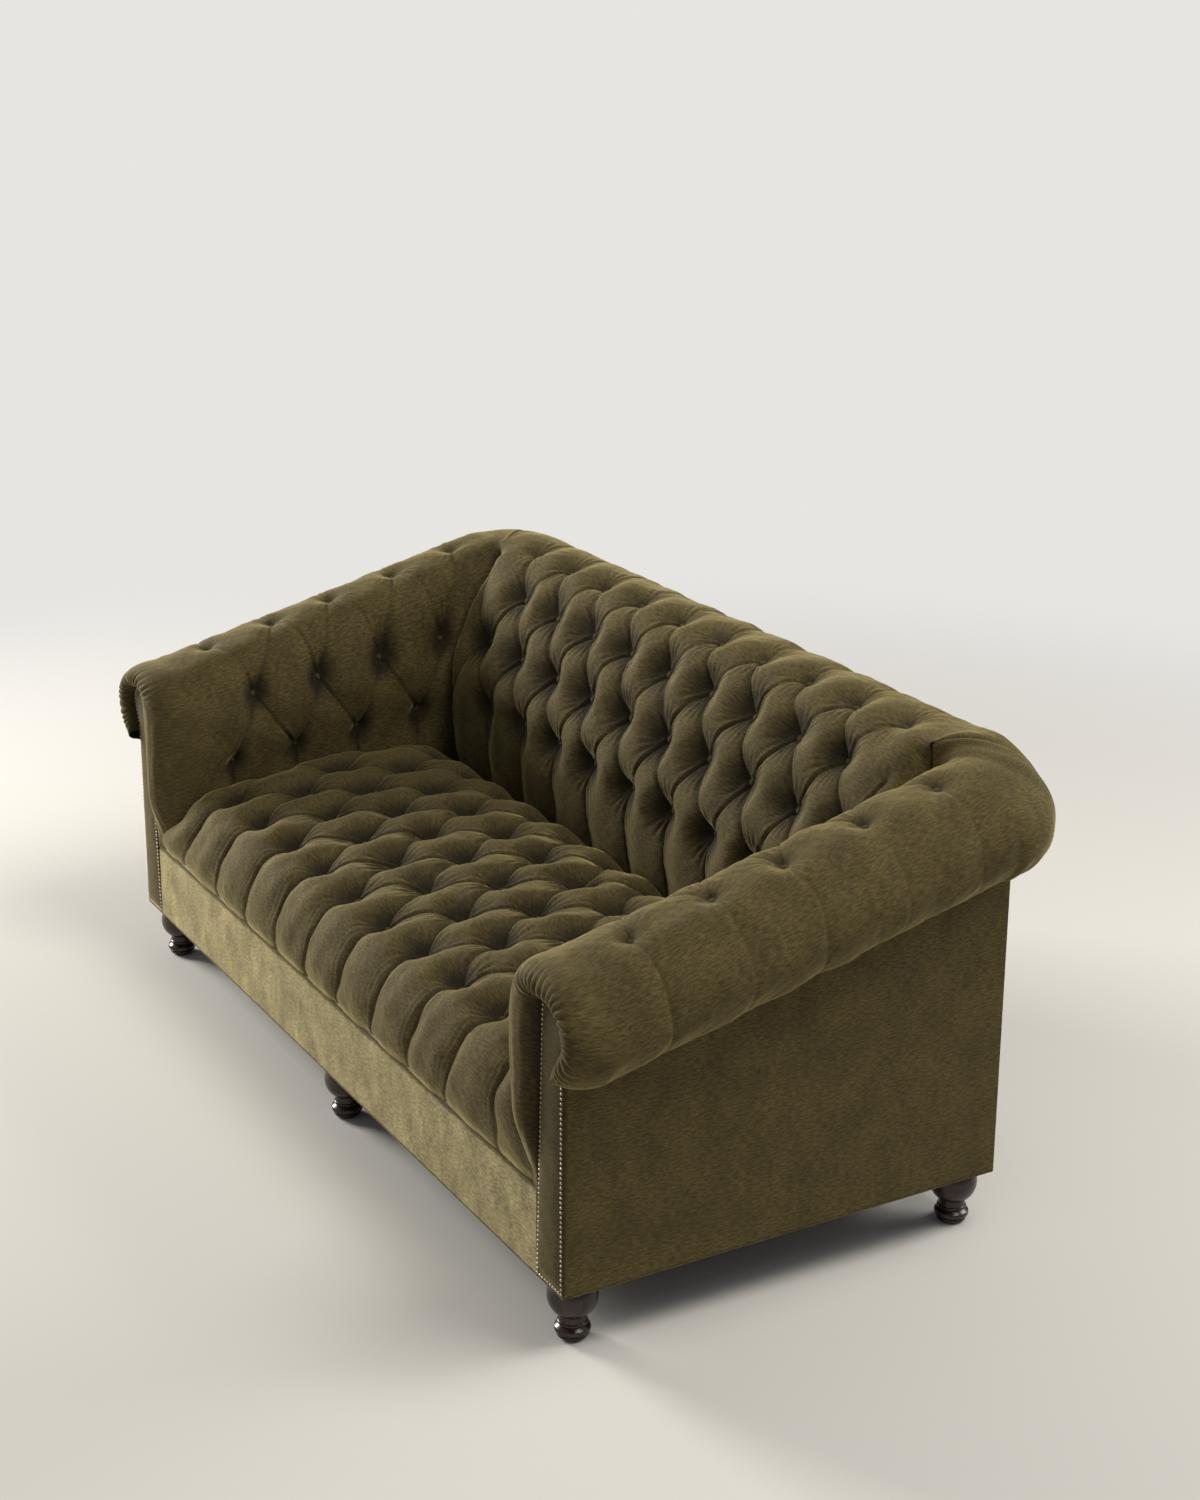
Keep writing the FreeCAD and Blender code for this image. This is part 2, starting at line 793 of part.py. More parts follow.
nose_top = seat_crest(90) - 300
nose_reach = 90 + 6
seat_rows = [((edge_back, seat_low_z), (-1, seat_low_z), 5, True)]
for angle, inner, dip in (
    (0, (edge_back, 304), 8), (25, (edge_back, 340), 12), (50, (edge_back, fill_top), 18),
    (70, (62, fill_top), 27), (90, (92, fill_top), 35),
):
    turn = math.radians(angle)
    outer = (90 - nose_reach * math.cos(turn), 300 + nose_top * math.sin(turn))
    seat_rows.append((inner, outer, dip, True))
row_count = int((seat_depth - first_row - 40) // row_pitch) + 1
for row in range(row_count):
    y = first_row + row * row_pitch
    seat_rows.append(((y, fill_top), (y, seat_crest(y)), seat_dip, row % 2 == 0))
for before_end, fall, dip in ((26, 6, 30), (9, 22, 16), (0, 46, 8)):
    y = seat_depth - before_end
    seat_rows.append(((y, fill_top), (y, seat_crest(y) - fall), dip, True))
seat_wires = []
for inner, outer, dip, odd in seat_rows:
    reach = math.hypot(outer[0] - inner[0], outer[1] - inner[1])
    row = across(half_count, dip, odd, seat_edge, min(60, reach * 0.45), 60)
    seat_wires.append(lateral_wire(inner, outer, row))
shape_node("tufted_seat", Part.makeLoft(seat_wires, True, True))

back_dip = float(size("back_tuft_depth"))
roll_z = float(back_roll_z)
roll_reach = float(size("back_roll_reach"))
roll_height = float(size("roll_half_height"))


def back_roll_point(angle):
    turn = math.radians(angle)
    return back_roll_y + roll_reach * math.cos(turn), roll_z + roll_height * math.sin(turn)


def core_point(angle, radius):
    turn = math.radians(angle)
    return core_y + radius * math.cos(turn), core_z + 11 + radius * math.sin(turn)


back_rows = [
    ((back_inner, 290), (bottom_y + 3, 290), 8, False, 20),
    ((back_inner, 400), (bottom_y, 450), 12, False, 24),
    ((back_inner, 500), (bottom_y - 2, 530), 25, False, 28),
    ((back_inner, 590), (bottom_y - 11, 596), back_dip, False, 30),
    ((back_inner, 680), (bottom_y + 26, 728), back_dip, True, 30),
    ((back_inner, 765), (bottom_y + 92, 871), back_dip, False, 18),
    (core_point(142, 77), (bottom_y + 200, 936), 15, True, 2),
    (core_point(100, 77), back_roll_point(85), 4, True, 2),
    (core_point(60, 77), back_roll_point(45), 3, True, 2),
    (core_point(22, 77), back_roll_point(17), 2, True, 2),
    (core_point(-8, 77), back_roll_point(0), 2, True, 2),
    ((core_y + 70, core_z - 6), back_roll_point(-22), 2, True, 2),
    ((core_y + 48, core_z - 14), back_roll_point(-45), 2, True, 2),
    ((core_y + 20, core_z - 20), back_roll_point(-68), 2, True, 2),
    ((float(body_depth) + 2, core_z - 24), (float(body_depth) + 1.5, roll_z - roll_height), 2, True, 1),
]
back_wires = []
for inner, outer, dip, odd, edge_drop in back_rows:
    row = across(half_count, dip, odd, clear - 0.8, edge_drop, 60 if edge_drop > 2 else 40)
    back_wires.append(lateral_wire(inner, outer, row))
shape_node("tufted_back", Part.makeLoft(back_wires, True, True))

roll_x = float(half_width - size("roll_centre_inset"))
roll_front_z = float(size("roll_front_height"))
inner_reach = float(size("roll_inner_reach"))
outer_reach = float(size("roll_outer_reach"))
tuft_rise = float(size("tuft_slope"))
arm_dip = float(size("arm_tuft_depth"))
front_round = float(size("front_overhang"))
arm_end = back_inner
arm_cover_x = arm_burlap_x - 0.5
arm_side_x = float(half_width) + 0.6
arm_turns = int((arm_end - 165) // half_pitch)


def arm_roll_point(angle):
    turn = math.radians(angle)
    return roll_x + outer_reach * math.cos(turn), roll_front_z + roll_height * math.sin(turn)


def arm_row(first, dip, even_valleys, side_drop):
    # nodes from the rounded front edge back to the corner, flattened where the back covers the arm
    row = [(-front_round, -18.0), (-front_round + 18, 0.0), (first - half_pitch, 0.0)]
    for index in range(arm_turns + 1):
        t = first + index * half_pitch
        valley = (index % 2 == 0) == even_valleys
        covered = side_drop > 0 and t > seat_depth - 5
        height = -side_drop if covered else 0.0
        row.append((t, height - (dip if valley and not covered else 0.0)))
    row.append((arm_end, -side_drop if side_drop > 0 else 0.0))
    return row


side_x = float(half_width)
arm_rows = [
    ((side_x - 88, seat_low_z), (clear, seat_low_z), 0.0, 4, 165, True, 0.7),
    ((side_x - 84, 440), (clear, 452), tuft_rise, 14, 165, True, 0.7),
    ((side_x - 82, 467), (clear - 12, 467), tuft_rise, arm_dip, 165, True, 12.7),
    ((arm_cover_x, 600), (clear - 15, 626), tuft_rise, arm_dip, 149, False, 15.7),
    ((arm_cover_x, 628), (clear + 2, 650), rise, 10, 149, False, 0),
    ((side_x - 77, 648), (roll_x - inner_reach / 2, 689), rise, 6, 152, True, 0),
    ((side_x - 65, head_top + 5.3), (roll_x - 5, roll_front_z + roll_height), rise, 18, 155, True, 0),
    ((side_x - 15, head_top + 5.3), arm_roll_point(60), rise, 3, 155, True, 0),
    ((side_x + 18, head_top - 9), arm_roll_point(30), rise, 2, 155, True, 0),
    ((side_x + 29, head_top - 41), arm_roll_point(0), rise, 2, 155, True, 0),
    ((side_x + 22, head_top - 68), arm_roll_point(-30), rise, 2, 155, True, 0),
    ((side_x + 7, head_top - 96), arm_roll_point(-60), rise, 2, 155, True, 0),
    ((arm_side_x + 1, head_top - 114), (arm_side_x, head_top - 150), rise, 1, 155, True, 0),
]


def arm_cover(side):
    wires = []
    for inner, outer, climb, dip, first, even, side_drop in arm_rows:
        inner_point = Vector(inner[0], 0, inner[1])
        outer_point = Vector(outer[0], 0, outer[1])
        row = arm_row(first, dip, even, side_drop)
        wires.append(station(inner_point, outer_point, Vector(0, 1, climb), row))
    cover_shape = Part.makeLoft(wires, True, True).translated(Vector(0, float(front_plane), 0))
    return mirrored(cover_shape, side)


for side_name, side in sides:
    shape_node(side_name + "_tufted_arm", arm_cover(side))

# Rounded corners that carry each arm's roll round into the back's roll
corner_x = clear + 0.5 - 0.8
corner_y = arm_end + 0.6


def blend(start, end, amount):
    return start + (end - start) * amount


def corner_station(amount):
    # a section through the corner's upright axis; amount runs from the arm to the back
    turn = math.radians(90 * amount)
    far_x = roll_x + outer_reach - corner_x
    far_y = back_roll_y + roll_reach - corner_y
    across_x = far_x * math.cos(turn) ** 0.85
    across_y = far_y * math.sin(turn) ** 0.85
    reach = math.hypot(across_x, across_y)
    ahead = Vector(across_x / reach, across_y / reach, 0)
    half = blend(outer_reach, roll_reach, amount)
    arm_z = roll_front_z + rise * arm_end
    middle = blend(arm_z, roll_z, amount)
    low = middle - roll_height
    ring = [(reach - half + half * math.cos(math.radians(angle)), angle) for angle in (90, 60, 30, 0, -30, -60)]
    ring = [(r, middle + roll_height * math.sin(math.radians(angle))) for r, angle in ring]
    arm_side = float(half_width) - corner_x
    back_side = float(body_depth) - corner_y
    wall = min(arm_side / max(ahead.x, 0.01), back_side / max(ahead.y, 0.01)) + 1
    ring.append((min(wall, reach - half * 0.5), low + 2))
    shoulder = (blend(48, 30, amount), middle + roll_height * blend(0.87, 0.97, amount))
    inside = (2, middle + roll_height * blend(0.52, 0.85, amount))
    profile = [(2, low + 2), inside, shoulder] + ring
    origin = Vector(corner_x, corner_y + float(front_plane), 0)
    points = [origin + ahead * r + Vector(0, 0, z) for r, z in profile]
    return Part.makePolygon(points + points[:1])


corner_steps = 6
corner_wires = [corner_station(step / corner_steps) for step in range(corner_steps + 1)]
corner_block_shape = Part.makeLoft(corner_wires, True, True)
hollow = Part.makeBox(
    float(half_width) + 0.6 - corner_x + 10,
    float(body_depth) + 0.6 - corner_y + 10,
    float(top_rail_top) + 0.4 - 600,
    Vector(corner_x - 10, corner_y + float(front_plane) - 10, 600),
)
rail_end = Part.makeBox(
    rail_outer - rail_inner + 6,
    float(back_post_front) - corner_y + 6,
    rail_high_z + rise * float(back_post_front) + 1 - 600,
    Vector(rail_inner - 3, corner_y + float(front_plane) - 5, 600),
)
corner_shape = corner_block_shape.cut(Part.makeCompound([hollow, rail_end]))
for side_name, side in sides:
    shape_node(side_name + "_back_corner", mirrored(corner_shape, side))

# Covered buttons, each seated above its valley and facing out along its row
button_radius = float(size("button_radius"))
button_height = 6
rim_play = 0.9
roll_rim_play = 1.6


def button():
    # a low dome on the XY plane over a short rim
    rim = 1.6
    dome = button_height - rim
    curve = (button_radius ** 2 + dome ** 2) / (2 * dome)
    ball = Part.makeSphere(curve, Vector(0, 0, button_height - curve))
    slab = Part.makeBox(40, 40, dome, Vector(-20, -20, rim))
    return ball.common(slab).fuse(Part.makeCylinder(button_radius, rim))


def rim_lift(dip, width, play):
    # how far the narrower arc beside a valley has risen where the button's rim meets it
    radius = (width ** 2 + dip ** 2) / (2 * dip)
    reach = width - button_radius
    return math.sqrt(radius ** 2 - reach ** 2) - radius + dip + play


button_shape = button()


def set_button(inner, outer, along, row, index, dip, play=rim_play):
    t = row[index][0]
    width = min(row[index + 1][0] - t, t - row[index - 1][0])
    out = Vector(*(outer - inner)).normalize()
    base = outer + along * t + out * (rim_lift(dip, width, play) - dip)
    turn = Rotation(Vector(0, 0, 1), out)
    placed = button_shape.copy()
    placed.Placement = FreeCAD.Placement(base, turn)
    return placed


def lateral_buttons(rows):
    placed = []
    for inner, outer, dip, odd in rows:
        inner_point = Vector(0, inner[0] + float(front_plane), inner[1])
        outer_point = Vector(0, outer[0] + float(front_plane), outer[1])
        row = across(half_count, dip, odd, clear, 20, 60)
        for index in range(2, len(row) - 2):
            if row[index][1] <= -dip:
                placed.append(set_button(inner_point, outer_point, x_axis, row, index, dip))
    return copies(placed)


shape_node("seat_buttons", lateral_buttons(seat_rows[6:6 + row_count]))
shape_node("back_buttons", lateral_buttons([row[:4] for row in back_rows[3:7]]))
arm_buttons = []
for inner, outer, climb, dip, first, even, side_drop in (arm_rows[2], arm_rows[3], arm_rows[6]):
    play = rim_play if side_drop > 0 else roll_rim_play
    inner_point = Vector(inner[0], 0, inner[1])
    outer_point = Vector(outer[0], 0, outer[1])
    row = arm_row(first, dip, even, side_drop)
    for index in range(3, len(row) - 1):
        if row[index][1] <= -dip and (side_drop == 0 or row[index][0] < seat_depth - 5):
            placed = set_button(inner_point, outer_point, Vector(0, 1, climb), row, index, dip, play)
            placed.translate(Vector(0, float(front_plane), 0))
            arm_buttons += [mirrored(placed, side) for name, side in sides]
shape_node("arm_buttons", copies(arm_buttons))

# Outside covers over thin boards
for side_name, side in sides:
    front_y = float(facing_depth)
    back_y = float(body_depth)
    edge_z = head_top - 116
    profile = chain([
        (front_y, panel_bottom), (back_y, panel_bottom),
        (back_y, edge_z + rise * back_y), (front_y, edge_z + rise * front_y),
    ])
    label = side_name + "_outside_arm"
    panel = padded(label, "YZ_Plane", profile, cover, reverse=False)
    bind(panel, "Placement.Base.x", sided(side, frame_half, cover))
    bind(panel, "Placement.Base.y", front_plane)
    keep(panel, label)

keep(
    box("outside_back", frame_half * 2, cover, top_rail_top - 50 - panel_bottom, -frame_half, frame_back,
        panel_bottom),
    "outside_back",
)
rail_panel_half = facing_low_x - 0.5
panel_top = float(welt_height) - float(welt_radius) - 0.3
keep(
    box("front_rail_panel", rail_panel_half * 2, facing_depth - fit, panel_top - panel_bottom,
        -rail_panel_half, 0, panel_bottom),
    "front_rail_panel",
)
keep(
    rod("seat_front_welt", "x", welt_radius, rail_panel_half * 2, -rail_panel_half, facing_depth / 2, welt_height),
    "seat_front_welt",
)
base_welt_z = panel_bottom - 0.2 - float(welt_radius)
base_welts = doc.addObject("Part::Compound", "base_welts")
base_welts.Links = [
    rod("front_base_welt", "x", welt_radius, half_width * 2, -half_width, welt_radius + 0.2, base_welt_z),
    rod("left_base_welt", "y", welt_radius, body_depth - 7, 3 - half_width, 7, base_welt_z),
    rod("right_base_welt", "y", welt_radius, body_depth - 7, half_width - 3, 7, base_welt_z),
]
keep(base_welts, "base_welts")

foot_top = float(body_bottom) + 0.7
dust_low = float(rail_bottom) - 2
dust_board = box(
    "dust_board", half_width * 2 - 14, body_depth - 16, rail_bottom - dust_low, 7 - half_width, 8, dust_low
)
dust_holes = [
    rod("dust_hole_" + name, "z", bolt_hole, 2, x, y, dust_low)
    for name, x, y in foot_places
]
keep(drilled(dust_board, dust_holes, "dust_cover"), "dust_cover")

# Turned feet with their bolts and glides
ball = float(size("foot_ball_radius"))
neck = float(size("foot_neck_radius"))
disc = float(size("foot_base_radius"))
glide_height = float(size("glide_height"))
ball_z = foot_top - 35.7
bolt_length = float(size("bolt_length"))
bolt_top = float(rail_bottom) + float(block_height) - 2
bolt_low = bolt_top - bolt_length
top_radius = math.sqrt(ball ** 2 - (foot_top - ball_z) ** 2)
neck_z = ball_z - math.sqrt(ball ** 2 - neck ** 2)
hole_radius = float(bolt_hole)
hole_bottom = bolt_low - 1
foot_outline = [
    ((0, glide_height), (disc - 8, glide_height)),
    ((disc - 8, glide_height), (disc - 4.5, 7), (disc - 7, 11)),
    ((disc - 7, 11), (disc - 1, 14)),
    ((disc - 1, 14), (disc, 18.5), (disc - 1, 23)),
    ((disc - 1, 23), (neck + 1.5, 28)),
    ((neck + 1.5, 28), (neck + 4, 31.5), (neck + 1.5, 35)),
    ((neck + 1.5, 35), (neck, neck_z)),
    ((neck, neck_z), (ball, ball_z), (top_radius, foot_top)),
    ((top_radius, foot_top), (hole_radius, foot_top)),
    ((hole_radius, foot_top), (hole_radius, hole_bottom)),
    ((hole_radius, hole_bottom), (0, hole_bottom)),
    ((0, hole_bottom), (0, glide_height)),
]
bolts = []
glides = []
for name, x, y in foot_places:
    body, sketch = sketched(name, "XZ_Plane", foot_outline)
    turned = body.newObject("PartDesign::Revolution", name + "_turned")
    turned.Profile = sketch
    turned.ReferenceAxis = (sketch, ["V_Axis"])
    turned.Angle = 360
    sketch.Visibility = False
    bind(body, "Placement.Base.x", x)
    bind(body, "Placement.Base.y", depth(y))
    keep(body, name)
    bolts.append(moved(Part.makeCylinder(float(size("bolt_radius")), bolt_length), x, y, bolt_low))
    glides.append(moved(Part.makeCylinder(float(size("glide_radius")), glide_height), x, y, 0))
shape_node("foot_bolts", copies(bolts))
shape_node("foot_glides", copies(glides))

# Everything is worked out and checked before it is written
doc.recompute()
for item in doc.Objects:
    if "Invalid" in item.State or "Error" in item.State:
        raise RuntimeError(item.Label + " could not be worked out")
for item in nodes:
    if item.Shape.isNull() or not item.Shape.isValid():
        raise RuntimeError(item.Label + " has no valid shape")

os.makedirs("parts", exist_ok=True)
for item in nodes:
    item.Shape.exportStep("parts/" + item.Label + ".step")
print("%d pieces written" % len(nodes))
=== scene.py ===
import json
import math

import bpy
import numpy as np
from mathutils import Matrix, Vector


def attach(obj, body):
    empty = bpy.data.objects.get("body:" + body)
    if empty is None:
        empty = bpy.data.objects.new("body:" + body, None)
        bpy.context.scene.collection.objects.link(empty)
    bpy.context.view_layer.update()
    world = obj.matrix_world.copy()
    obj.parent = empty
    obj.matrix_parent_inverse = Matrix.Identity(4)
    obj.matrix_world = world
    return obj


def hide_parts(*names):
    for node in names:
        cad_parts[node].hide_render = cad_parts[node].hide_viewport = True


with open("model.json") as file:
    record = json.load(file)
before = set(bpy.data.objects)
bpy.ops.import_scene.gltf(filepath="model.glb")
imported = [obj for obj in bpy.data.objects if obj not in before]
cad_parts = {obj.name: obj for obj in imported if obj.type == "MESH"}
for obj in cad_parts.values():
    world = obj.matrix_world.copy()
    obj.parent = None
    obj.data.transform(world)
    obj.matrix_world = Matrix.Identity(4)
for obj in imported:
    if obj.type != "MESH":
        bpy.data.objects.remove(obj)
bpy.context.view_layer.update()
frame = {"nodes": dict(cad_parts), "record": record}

nodes = frame["nodes"]

# Lengths below are in millimetres with depth counted back from the front of the arm facings.
frontPlane = 523.0
sides = {"left": -1, "right": 1}
fullShadeDepth = 36.0  # how deep the cloth lies where the painted shade is darkest


def toFrame(points):
    # from millimetres behind the facings to metres in the frame
    out = np.array(points, dtype=float)
    out[..., 1] -= frontPlane
    return out * 0.001


# Curves and grids

def throughPoints(points, step):
    # a smooth curve through the points, sampled about every step along its first two numbers
    pts = np.array(points, dtype=float)
    gaps = np.linalg.norm(np.diff(pts[:, :2], axis=0), axis=1)
    knots = np.concatenate([[0], np.cumsum(gaps)])
    slopes = np.zeros_like(pts)
    seg = np.diff(pts, axis=0) / gaps[:, None]
    slopes[0], slopes[-1] = seg[0], seg[-1]
    slopes[1:-1] = (seg[:-1] * gaps[1:, None] + seg[1:] * gaps[:-1, None]) / (gaps[1:] + gaps[:-1])[:, None]
    dense = []
    for i, gap in enumerate(gaps):
        u = np.linspace(0, 1, 24, endpoint=False)[:, None]
        dense.append((2 * u ** 3 - 3 * u ** 2 + 1) * pts[i] + (u ** 3 - 2 * u ** 2 + u) * gap * slopes[i]
                     + (3 * u ** 2 - 2 * u ** 3) * pts[i + 1] + (u ** 3 - u ** 2) * gap * slopes[i + 1])
    dense = np.concatenate(dense + [pts[-1:]])
    along = np.concatenate([[0], np.cumsum(np.linalg.norm(np.diff(dense[:, :2], axis=0), axis=1))])
    count = max(2, int(round(along[-1] / step)) + 1)
    t = np.linspace(0, along[-1], count)
    return t, np.stack([np.interp(t, along, dense[:, k]) for k in range(pts.shape[1])], axis=1)


def nearestT(t, curve, point):
    away = np.linalg.norm(curve[:, :2] - np.array(point, dtype=float), axis=1)
    return float(t[int(np.argmin(away))])


def smoothStep(x):
    x = np.clip(x, 0, 1)
    return x * x * (3 - 2 * x)


def wobble(s, t, length, seed):
    # a smooth random field, about -1 to 1, whose waves are about that long
    rng = np.random.default_rng(seed)
    total = np.zeros_like(s)
    for wave in range(7):
        turn = rng.uniform(0, math.pi)
        k = 2 * math.pi / (length * rng.uniform(0.7, 1.5))
        total += np.sin(k * (s * math.cos(turn) + t * math.sin(turn)) + rng.uniform(0, 6.283))
    return total / 3.2


def gathers(turns):
    # round ridges with sharp valleys between them, one for each whole turn
    return 2 * np.abs(np.sin(math.pi * turns)) ** 0.75 - 1


def gridNormals(base):
    down = np.gradient(base, axis=0)
    side = np.gradient(base, axis=1)
    out = np.cross(side, down)
    return out / np.maximum(np.linalg.norm(out, axis=2, keepdims=True), 1e-9)


def outwardNormals(base, row, col):
    # the grid's normals, turned so that they point up at that place
    normals = gridNormals(base)
    return -normals if normals[row, col, 2] < 0 else normals


def gridFaces(rows, cols, first=0):
    index = first + np.arange(rows * cols).reshape(rows, cols)
    a, b, c, d = index[:-1, :-1], index[:-1, 1:], index[1:, 1:], index[1:, :-1]
    return np.stack([a, b, c, d], axis=-1).reshape(-1, 4)


def meshPiece(name, points, faces, uv=None, flip=False, shadeHeights=None):
    # points in millimetres; faces is a list of arrays of equal-sided faces
    mesh = bpy.data.meshes.new(name)
    points = toFrame(np.asarray(points).reshape(-1, 3))
    loops = np.concatenate([(block[:, ::-1] if flip else block).reshape(-1) for block in faces])
    sizes = np.concatenate([np.full(len(block), block.shape[1]) for block in faces])
    starts = np.concatenate([[0], np.cumsum(sizes)[:-1]])
    mesh.vertices.add(len(points))
    mesh.vertices.foreach_set("co", points.astype(np.float32).reshape(-1))
    mesh.loops.add(len(loops))
    mesh.loops.foreach_set("vertex_index", loops.astype(np.int32))
    mesh.polygons.add(len(sizes))
    mesh.polygons.foreach_set("loop_start", starts.astype(np.int32))
    mesh.update(calc_edges=True)
    mesh.validate()
    mesh.polygons.foreach_set("use_smooth", np.ones(len(mesh.polygons), dtype=bool))
    if shadeHeights is not None:
        # how deep each point lies in the tufting, from 0 on the crests to 1 at a button, kept for the
        # velvet's painted shade
        paintedTuftShade = np.zeros(len(points), dtype=np.float32)
        paintedTuftShade[:len(shadeHeights)] = np.clip(-shadeHeights / fullShadeDepth, 0, 1)
        mesh.attributes.new("paintedTuftShade", "FLOAT", "POINT").data.foreach_set("value", paintedTuftShade)
    if uv is not None:
        layer = mesh.uv_layers.new(name="weave")
        order = np.empty(len(mesh.loops), dtype=np.int32)
        mesh.loops.foreach_get("vertex_index", order)
        flat = (np.asarray(uv).reshape(-1, 2) * 0.001).astype(np.float32)
        layer.data.foreach_set("uv", flat[order].reshape(-1))
    piece = bpy.data.objects.new(name, mesh)
    bpy.context.scene.collection.objects.link(piece)
    return piece


# Deep buttoning, worked out on the flat cloth: s runs along the piece and t across it
dimpleReach = 150


def tuftField(s, t, buttons, folds, look):
    # how far the cloth stands off its crest surface; valleys are negative
    plainS, plainT = np.meshgrid(s, t)
    warpS = plainS + look["drift"] * wobble(plainS, plainT, 150, look["seed"])
    warpT = plainT + look["drift"] * wobble(plainS, plainT, 140, look["seed"] + 1)
    pillow = np.ones_like(warpS)
    relief = np.zeros_like(warpS)
    rng = np.random.default_rng(look["seed"] + 7)
    for fold in folds:
        (sa, ta), (sb, tb) = fold["a"], fold["b"]
        reach = fold.get("reach", look["reach"])
        i0, i1 = np.searchsorted(s, [min(sa, sb) - reach - 6, max(sa, sb) + reach + 6])
        j0, j1 = np.searchsorted(t, [min(ta, tb) - reach - 6, max(ta, tb) + reach + 6])
        if i1 <= i0 or j1 <= j0:
            continue
        window = (slice(j0, j1), slice(i0, i1))
        length = math.hypot(sb - sa, tb - ta)
        us, ut = (sb - sa) / length, (tb - ta) / length
        fromA = (warpS[window] - sa) * us + (warpT[window] - ta) * ut
        bow = fold.get("bow", rng.uniform(-1, 1) * look["bow"])
        u = np.clip(fromA / length, 0, 1)
        side = -(warpS[window] - sa) * ut + (warpT[window] - ta) * us - bow * 4 * u * (1 - u)
        away = np.hypot(side, fromA - u * length)
        near = np.clip(1 - away / reach, 0, 1)
        weight = fold.get("wa", 1.0) * (1 - u) + fold.get("wb", 1.0) * u
        weight = weight - fold.get("sag", look["sag"]) * 4 * u * (1 - u)
        pillow[window] *= 1 - np.clip(weight, 0, 1) * near ** look["power"]
        lip = fold.get("lip", look["lip"]) * fold.get("turn", 1)
        alongside = smoothStep(fromA / 14) * smoothStep((length - fromA) / 14)
        alongside = alongside * (0.1 + 0.9 * np.clip(weight, 0, 1))
        relief[window] += alongside * (
            lip * np.exp(-((side - 5.5) / 5.0) ** 2)
            - look["crease"] * np.exp(-(side / 3.3) ** 2)
        )
        for atButton, start in ((fold.get("pa", True), fromA), (fold.get("pb", True), length - fromA)):
            if not atButton:
                continue
            angle = np.arctan2(side, np.maximum(start, 1.0))
            far = np.hypot(side, start)
            band = np.exp(-((far - 40) / 27) ** 2) * np.exp(-(angle / look["fan"]) ** 2) * (start > 0)
            pitch = look["pleatAngle"] * rng.uniform(0.85, 1.2)
            relief[window] += look["pleat"] * rng.uniform(0.6, 1.25) * band * gathers(
                angle / pitch + rng.uniform(0, 1))
    total = -look["valley"] * (1 - pillow) + relief
    for sb, tb, depth in buttons:
        i0, i1 = np.searchsorted(s, [sb - dimpleReach, sb + dimpleReach])
        j0, j1 = np.searchsorted(t, [tb - dimpleReach, tb + dimpleReach])
        window = (slice(j0, j1), slice(i0, i1))
        far = np.hypot(warpS[window] - sb, warpT[window] - tb)
        total[window] -= depth * np.exp(-(far / look["dimple"]) ** 1.3)
    total += look["uneven"] * wobble(plainS, plainT, 90, look["seed"] + 3)
    total += 0.35 * wobble(plainS, plainT, 26, look["seed"] + 4)
    return total


def unwarp(s, t, look):
    # where on the plain grid a warped point lies, near enough for a button
    ps, pt = np.array([[s]], dtype=float), np.array([[t]], dtype=float)
    return (s - look["drift"] * float(wobble(ps, pt, 150, look["seed"])[0, 0]),
            t - look["drift"] * float(wobble(ps, pt, 140, look["seed"] + 1)[0, 0]))


buttonSpots = []


def markButtons(s, t, grid, normals, buttons, look, sink):
    # remembers where each button sits on the finished surface and which way it faces
    for sb, tb, depth in buttons:
        us, ut = unwarp(sb, tb, look)
        i = int(np.clip(np.searchsorted(s, us), 1, len(s) - 2))
        j = int(np.clip(np.searchsorted(t, ut), 1, len(t) - 2))
        patch = grid[j - 1:j + 2, i - 1:i + 2].reshape(-1, 3)
        facing = normals[j, i]
        low = patch[np.argmin(patch @ facing)]
        buttonSpots.append((low + facing * sink, facing))


pitch = 158.0  # from button to button along a row
step = 3.5  # the grid's spacing
underHalf = 828.0  # half the width of the unseen underside
buttonSink = 0.2

# Seat
seatLook = {
    "seed": 21, "drift": 3.5, "reach": 76, "power": 2.1, "valley": 18, "sag": 0.30, "bow": 7, "lip": 2.6,
    "crease": 4.6, "fan": 0.75, "pleatAngle": 0.27, "pleat": 2.3, "dimple": 36, "uneven": 1.8,
}
seatPath = [
    (3, 287), (-5, 306), (-6, 332), (1, 366), (15, 400), (37, 431), (64, 450), (90, 459),
    (113, 464.5), (150, 471), (180, 476), (246, 486), (312, 493), (379, 497), (445, 498),
    (512, 496), (578, 490), (624, 480), (654, 466), (678, 445), (693, 420), (700, 400), (702, 384),
]
seatRows = [(113, 464), (243, 485), (370, 496), (505, 496), (645, 472)]
seatEdge = 829.0
seatRound = 88.0


def edgeProfile(s, edge, radius):
    # across the whole piece: where it is on X and how far it has dropped off the crest
    flat = edge - radius
    over = np.clip((np.abs(s) - flat) / radius, 0, None)
    bend = np.minimum(over, math.pi / 2)
    x = np.where(over > 0, flat + radius * np.sin(bend), np.abs(s))
    drop = radius * (1 - np.cos(bend)) + radius * np.maximum(over - math.pi / 2, 0)
    return np.sign(s) * x, drop


def lateral(s, curve, x, drop):  # drop has one row, or one for each point of the curve
    # sweeps a (depth, height) curve along X and lets the ends drop along the curve's normal
    rows = np.zeros((len(curve), len(s), 3))
    rows[..., 0] = x[None, :]
    tangent = np.gradient(curve[:, :2], axis=0)
    tangent /= np.linalg.norm(tangent, axis=1, keepdims=True)
    normal = np.stack([-tangent[:, 1], tangent[:, 0]], axis=1)
    rows[..., 1] = curve[:, 0:1] - normal[:, 0:1] * drop
    rows[..., 2] = curve[:, 1:2] - normal[:, 1:2] * drop
    return rows


